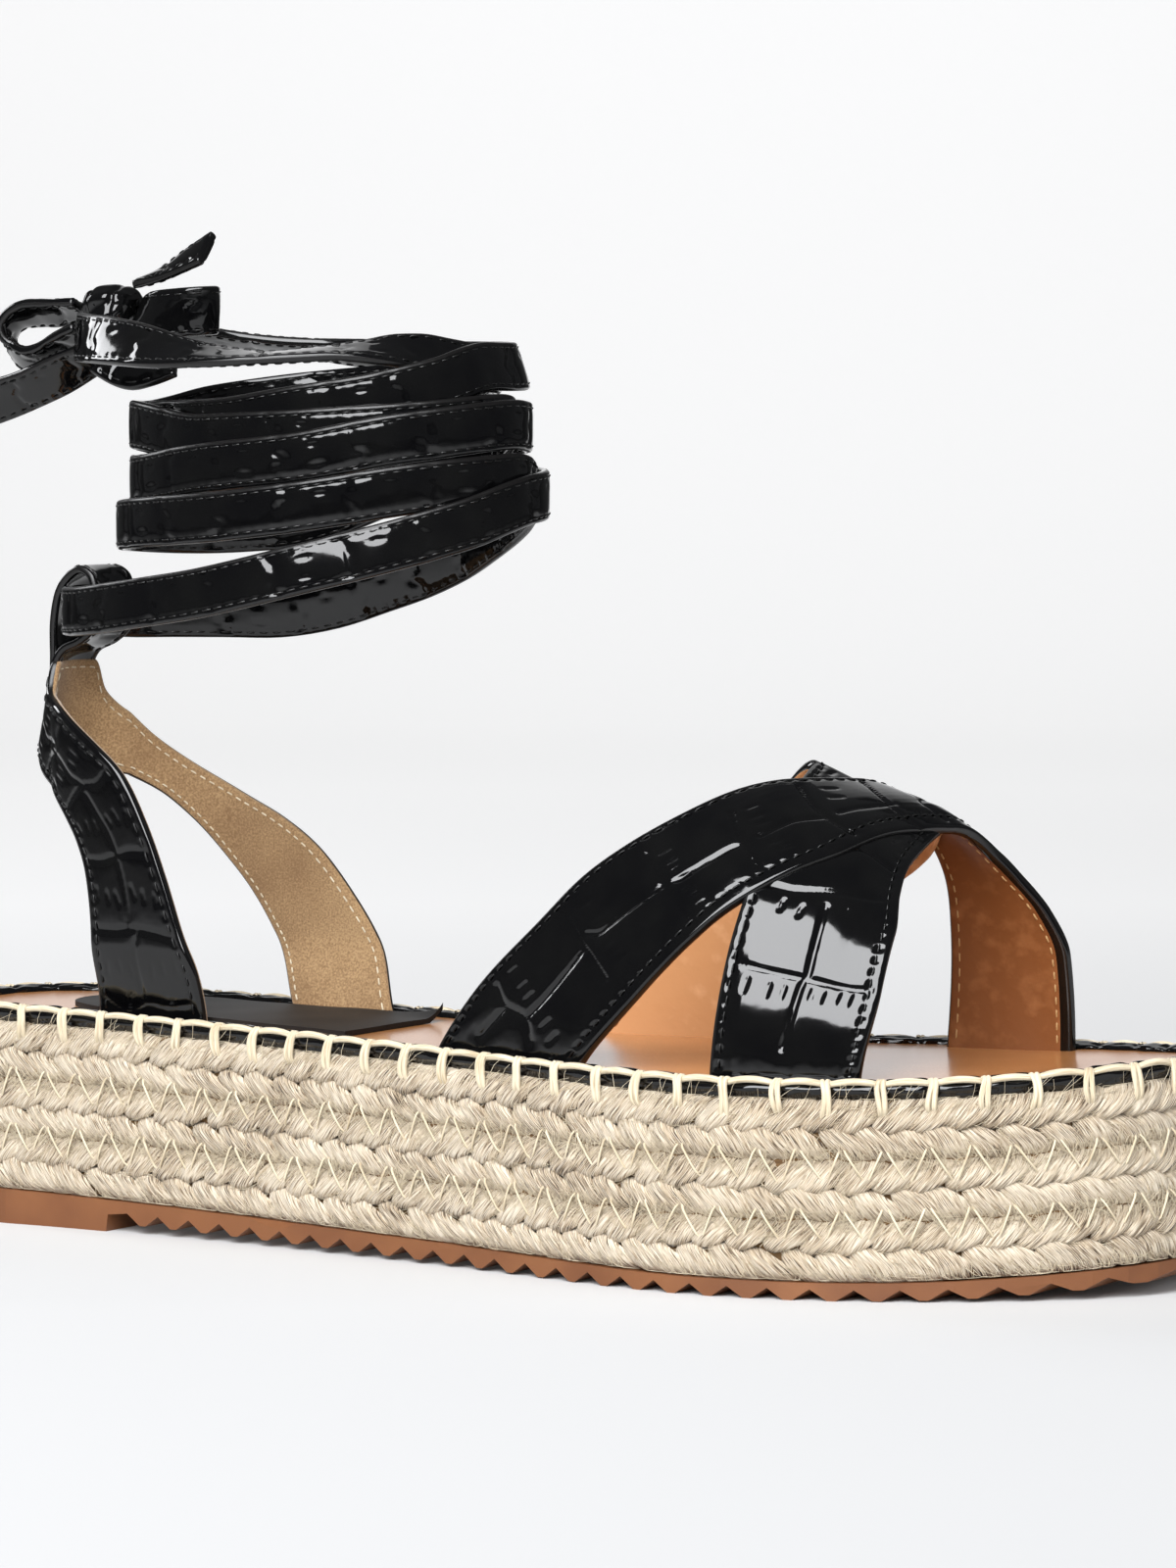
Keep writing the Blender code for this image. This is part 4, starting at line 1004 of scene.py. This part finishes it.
def quarter_skin():
    """The band's outer surface; its base spreads to the sole's edge, its neck flares to the rear."""
    cuts = np.array([*OUTER_CUTS, BACK_CUT, *INNER_CUTS])
    row = np.linspace(0, len(cuts) - 1, 12 * (len(cuts) - 1) + 1)
    low_u, low_z, high_u, high_z = [through(values, row)[:, None] for values in cuts.T]
    across = np.linspace(0, 1, 17)[None, :]
    u = low_u + (high_u - low_u) * across
    z = low_z + (high_z - low_z) * across
    x, y = quarter_plan(u)
    blend = np.clip((z - underside(x) - INSOLE_TOP - 0.3) / BASE_BLEND, 0, 1)
    blend = blend * blend * (3 - 2 * blend)
    base = np.where(u < 0, side_y(VAMP_INSET, x, -1), side_y(VAMP_INSET, x, 1))
    y = y + (base - y) * (1 - blend) * np.clip(np.abs(u) / BASE_REACH, 0, 1)
    flare = np.clip((NECK_TOP - z) / NECK_HEIGHT, 0, 1) * np.clip(1 - (u / FLARE_REACH) ** 2, 0, 1)
    return xyz(x - NECK_FLARE * flare, y, z)


back_skin = quarter_skin()
back_length = lengths(back_skin)[0][-1]
print("quarter length:", round(back_length))
quarter_marks = scale_lines(6, back_length - 4, 14.5, 31, 20)
quarter = strap("heel_quarter_band", back_skin, QUARTER_THICKNESS, quarter_marks, suede, outer=64, deep=0.16)
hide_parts("heel_quarter")
rows = seam_threads(back_skin, EVEN_SEAMS, SEAM_PITCH, 0.26)
new_threads("quarter_seams", [rows], black_thread)
rows = seam_threads(back_skin, (1.6, -1.6), 2.0, 0.18, QUARTER_THICKNESS)
new_threads("quarter_lining_seams", [rows], thread)

# %% Heel loop
LOOP_HALF_WIDTH = 6.3
LOOP_THICKNESS = 1.6
LOOP_SEAMS = (1.3, -1.3)
Side = namedtuple("Side", "x z")
LOOP_LINE = [Side(*spot) for spot in (
    (19.0, 101.5), (19.2, 104.0), (19.2, 107.5), (19.2, 111.5), (20.0, 117.6), (22.8, 122.2), (26.4, 124.0),
    (29.8, 122.2), (31.0, 117.0), (30.0, 111.8), (26.6, 108.9), (22.8, 107.2), (21.3, 104.8), (20.8, 102.2),
)]
step = np.linspace(0, len(LOOP_LINE) - 1, 130)
x, z = (through(values, step)[:, None] for values in np.array(LOOP_LINE).T)
y = np.linspace(LOOP_HALF_WIDTH, -LOOP_HALF_WIDTH, 13)[None, :]
bend = QUARTER_DEPTH * (1 - np.sqrt(1 - (y / QUARTER_HALF_WIDTH) ** 2))
loop_skin = xyz(x - HEEL_CENTRE + bend, y, z)
loop_marks = scale_lines(5, lengths(loop_skin)[0][-1] - 4, 12, 33, 12)
loop = strap("heel_loop_tab", loop_skin, LOOP_THICKNESS, loop_marks, patent, outer=36, inner=20,
             radius=0.6, deep=0.25, seams=LOOP_SEAMS)
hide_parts("heel_loop")
new_threads("loop_seams", [seam_threads(loop_skin, LOOP_SEAMS, 2.4, 0.2)], black_thread)

# %% [markdown]
# ## Ankle tie and bow
#
# The tie is one long strap wound round the ankle's place and tied in a bow. Its solids already
# have the right path, so the path is read back from them: rings of four corners, found one after
# the other by walking the mesh from one end. The rings are then resampled along a smooth curve
# and dressed as leather straps, with creases every 13 mm and a seam near each edge.


# %% Reading a strap's path off its solid
def strap_path(node):
    """Centres and width directions of a strap solid, ring by ring from one end to the other."""
    body = bmesh.new()
    body.from_mesh(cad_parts[node].data)
    bmesh.ops.remove_doubles(body, verts=body.verts, dist=0.002 * MM)
    body.verts.ensure_lookup_table()

    def around(layer):
        return {e.other_vert(body.verts[i]).index for i in layer for e in body.verts[i].link_edges}

    low = {v.index for v in body.verts if len(v.link_edges) <= 5}
    layer = {min(i for i in low if len(body.verts[i].link_edges) == 4)}
    for _ in range(3):
        layer |= around(layer) & low
    seen, centres, wides = set(), [], []
    while layer:
        ring = np.array([body.verts[i].co / MM for i in sorted(layer)])
        if len(ring) != 4:
            raise ValueError(f"{node}: a ring of {len(ring)} corners")
        near, middle, far = sorted(ring[1:], key=lambda p: np.linalg.norm(p - ring[0]))
        wide = unit(middle + far - ring[0] - near)
        wides.append(-wide if wides and wide @ wides[-1] < 0 else wide)
        centres.append(ring.mean(axis=0))
        seen |= layer
        layer = around(layer) - seen
    body.free()
    return np.array(centres), np.array(wides)


def refined(values, steps):
    """Rows resampled with a smooth curve through them, steps times finer."""
    slope = np.gradient(values, axis=0)
    fine = np.linspace(0, len(values) - 1, steps * (len(values) - 1) + 1)
    i = np.minimum(fine.astype(int), len(values) - 2)
    t = (fine - i)[:, None]
    near = values[i] * (1 + 2 * t) * (1 - t) ** 2 + slope[i] * t * (1 - t) ** 2
    far = values[i + 1] * t * t * (3 - 2 * t) - slope[i + 1] * t * t * (1 - t)
    return near + far


TIE_WIDTH = 9.2
TIE_THICKNESS = 1.8
TIE_AXIS = 81.5 - HEEL_CENTRE
TIE_SEAMS = (1.1, -1.1)


def tie_skin(node, away_from=None):
    """The outer skin of a strap solid, its face turned away from an upright axis where one is given."""
    centres, wide = (refined(rows, 4) for rows in strap_path(node))
    along = unit(np.gradient(centres, axis=0))
    wide = unit(wide - along * np.sum(wide * along, axis=1)[:, None])
    face = np.cross(wide, along)
    if away_from is not None:
        middle = len(centres) // 2
        if face[middle] @ (centres[middle] - (away_from, 0, centres[middle][2])) < 0:
            wide, face = -wide, -face
    across = np.linspace(-0.5, 0.5, 5)[None, :, None]
    return centres[:, None] + TIE_WIDTH * across * wide[:, None] + TIE_THICKNESS / 2 * face[:, None]


# %% Tie and bow straps
seam_rows = []
bow = ["bow_loop_rear", "bow_loop_front", "bow_tail_upper", "bow_tail_lower", "bow_under_fold"]
for number, node in enumerate(["ankle_tie"] + bow):
    long = node == "ankle_tie"
    skin = tie_skin(node, TIE_AXIS if long else None)
    length = lengths(skin)[0][-1]
    marks = scale_lines(5.0, length - 3, 13.5, 50 + number, TIE_WIDTH)
    piece = strap(node + "_leather", skin, TIE_THICKNESS, marks, patent, step=0.95 if long else 0.5,
                  outer=20, inner=14, radius=0.7, seams=TIE_SEAMS, deep=0.34, crown=0.12, two_faced=True)
    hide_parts(node)
    seam_rows += [seam_threads(skin, TIE_SEAMS, 2.5, 0.19, inner) for inner in (None, TIE_THICKNESS)]
    print(node, "is", round(length), "mm long")
new_threads("tie_seams", seam_rows, black_thread)

# %% [markdown]
# The knot is the strap pulled tight round itself: a rounded lump with folds that run over it and
# two furrows where one turn ends and the next begins.

# %% Knot
KNOT_GRID = (50, 80)
low, high = (np.array(c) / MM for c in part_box("tie_knot"))
centre, half = (low + high) / 2, (high - low) / 2
polar = np.linspace(0.02, math.pi - 0.02, KNOT_GRID[0])[:, None]
turn = np.linspace(0, 2 * math.pi, KNOT_GRID[1], endpoint=False)[None, :]
cos = np.cos(polar)
pleat = 0.9 + 0.05 * np.cos(3 * turn + 2.5 * cos) + 0.035 * np.cos(7 * turn + 4 * cos)
furrows = 0.10 * np.exp(-(((cos - 0.38) / 0.1) ** 2)) + 0.08 * np.exp(-(((cos + 0.45) / 0.1) ** 2))
swell = np.sin(polar) ** 0.62 * pleat * (1 - furrows)
x = np.sign(cos) * np.abs(cos) ** 0.8
y, z = (swell * np.sign(wave) * np.abs(wave) ** 0.85 for wave in (np.cos(turn), np.sin(turn)))
points = xyz(x * 0.97, y, z) * half + centre
quads = grid_quads(*KNOT_GRID, round_columns=True)[:, ::-1]
knot = new_piece("bow_knot", points, quads, [patent])
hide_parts("tie_knot")

# %% [markdown]
# ## Studio
#
# The sandal stands on a paper sweep that rises into a backdrop. Patent leather shows little of its
# own colour: what the eye reads is the shape of the lights in it. So the room is dim and plain, and
# two softboxes make the reflections. The paper glows evenly, as if lit from behind, and more the
# farther back it lies, so it looks white while the straps above it stay black. Beyond the paper
# the floor is grey. A wide fill panel and a small one at the toe brighten the jute, and are kept
# out of the reflections.

# %% Floor and backdrop
VIEW_YAW = math.radians(30.3)
ahead = np.array([-math.sin(VIEW_YAW), math.cos(VIEW_YAW)])
aside = np.array([math.cos(VIEW_YAW), math.sin(VIEW_YAW)])
BACKDROP_FOOT, BACKDROP_BEND = 1900, 400
LIT = [(0.0, "606060"), (0.55, "aaaaaa"), (1.0, "c3c3c3")]
GLOW = [(0.0, "000000"), (0.36, "b5b5b5"), (0.6, "c6c6c6"), (1.0, "cacaca")]
paper = new_material("studio_paper", 0.9)
place = add(paper, "TexCoord").outputs["Object"]
depth, across = (
    add(paper, "VectorMath", {0: place, 1: (*way, 0)}, operation="DOT_PRODUCT").outputs["Value"]
    for way in (ahead, aside)
)


def paper_range(value, start, end):
    """0 to 1 as the value goes from start to end, in metres."""
    return add(paper, "MapRange", {"Value": value, "From Min": start, "From Max": end}).outputs["Result"]


from_middle = calculate(paper, "ABSOLUTE", calculate(paper, "SUBTRACT", across, 0.1))
inward = paper_range(from_middle, 0.75, 0.4)
on_paper = calculate(paper, "MULTIPLY", paper_range(depth, -0.9, -0.14), inward)
shade(paper, Base_Color=ramp(paper, on_paper, LIT), Emission_Strength=inward,
      Emission_Color=ramp(paper, paper_range(depth, -0.12, 2.3), GLOW))
sweep = [(-6000, 0), (-300, 0), (500, 0), (BACKDROP_FOOT, 0)]
for a in np.linspace(0.1, math.pi / 2, 12):
    sweep.append((BACKDROP_FOOT + BACKDROP_BEND * math.sin(a), BACKDROP_BEND * (1 - math.cos(a))))
sweep.append((BACKDROP_FOOT + BACKDROP_BEND, 2400))
PAPER_MIDDLE, PAPER_HALF = np.array([110, 0]), 2600
vertices = [
    (*(PAPER_MIDDLE + back * ahead + side * aside) * MM, up * MM)
    for back, up in sweep
    for side in (-PAPER_HALF, PAPER_HALF)
]
polygons = [(2 * i, 2 * i + 1, 2 * i + 3, 2 * i + 2) for i in range(len(sweep) - 1)]
floor_mesh = bpy.data.meshes.new("studio_floor")
floor_mesh.from_pydata(vertices, [], polygons)
floor_mesh.materials.append(paper)
floor_mesh.shade_smooth()
put("studio_floor", floor_mesh)

# %% Lights
Box = namedtuple("Box", "name place target wide high power mirrored")
SOFTBOXES = [
    Box("key_softbox", (265, -1030, 905), (170, -35, 70), 900, 1150, 40.0, True),
    Box("left_softbox", (-1230, 150, 740), (0, 0, 100), 420, 600, 6.0, True),
    Box("fill_panel", (1750, -1150, 300), (110, 0, 60), 2000, 1300, 12.5, False),
    Box("toe_panel", (1350, 150, 500), (230, 0, 40), 700, 700, 6.0, False),
]
for box in SOFTBOXES:
    lamp = bpy.data.lights.new(box.name, "AREA")
    lamp.shape = "RECTANGLE"
    lamp.size, lamp.size_y = box.wide * MM, box.high * MM
    lamp.energy = box.power
    lamp.color = (0.97, 0.98, 1.0)
    holder = put(box.name, lamp)
    holder.location = Vector(box.place) * MM
    holder.rotation_euler = (Vector(box.target) - Vector(box.place)).to_track_quat("-Z", "Y").to_euler()
    holder.visible_glossy = box.mirrored
world = bpy.data.worlds.new("room")
world.use_nodes = True
room = world.node_tree.nodes["Background"].inputs
room["Color"].default_value, room["Strength"].default_value = (0.9, 0.92, 0.95, 1), 0.1
bpy.context.scene.world = world

# %% Camera
VIEW_PITCH = math.radians(3.42)
camera_data = bpy.data.cameras.new("camera")
camera_data.lens = 151.1
camera = put("camera", camera_data)
camera.location = Vector((718.4, -1035.1, 157.0)) * MM
forward = Vector((*(ahead * math.cos(VIEW_PITCH)), -math.sin(VIEW_PITCH)))
camera.rotation_euler = forward.to_track_quat("-Z", "Y").to_euler()
bpy.context.scene.camera = camera
bpy.context.scene.view_settings.view_transform = "Standard"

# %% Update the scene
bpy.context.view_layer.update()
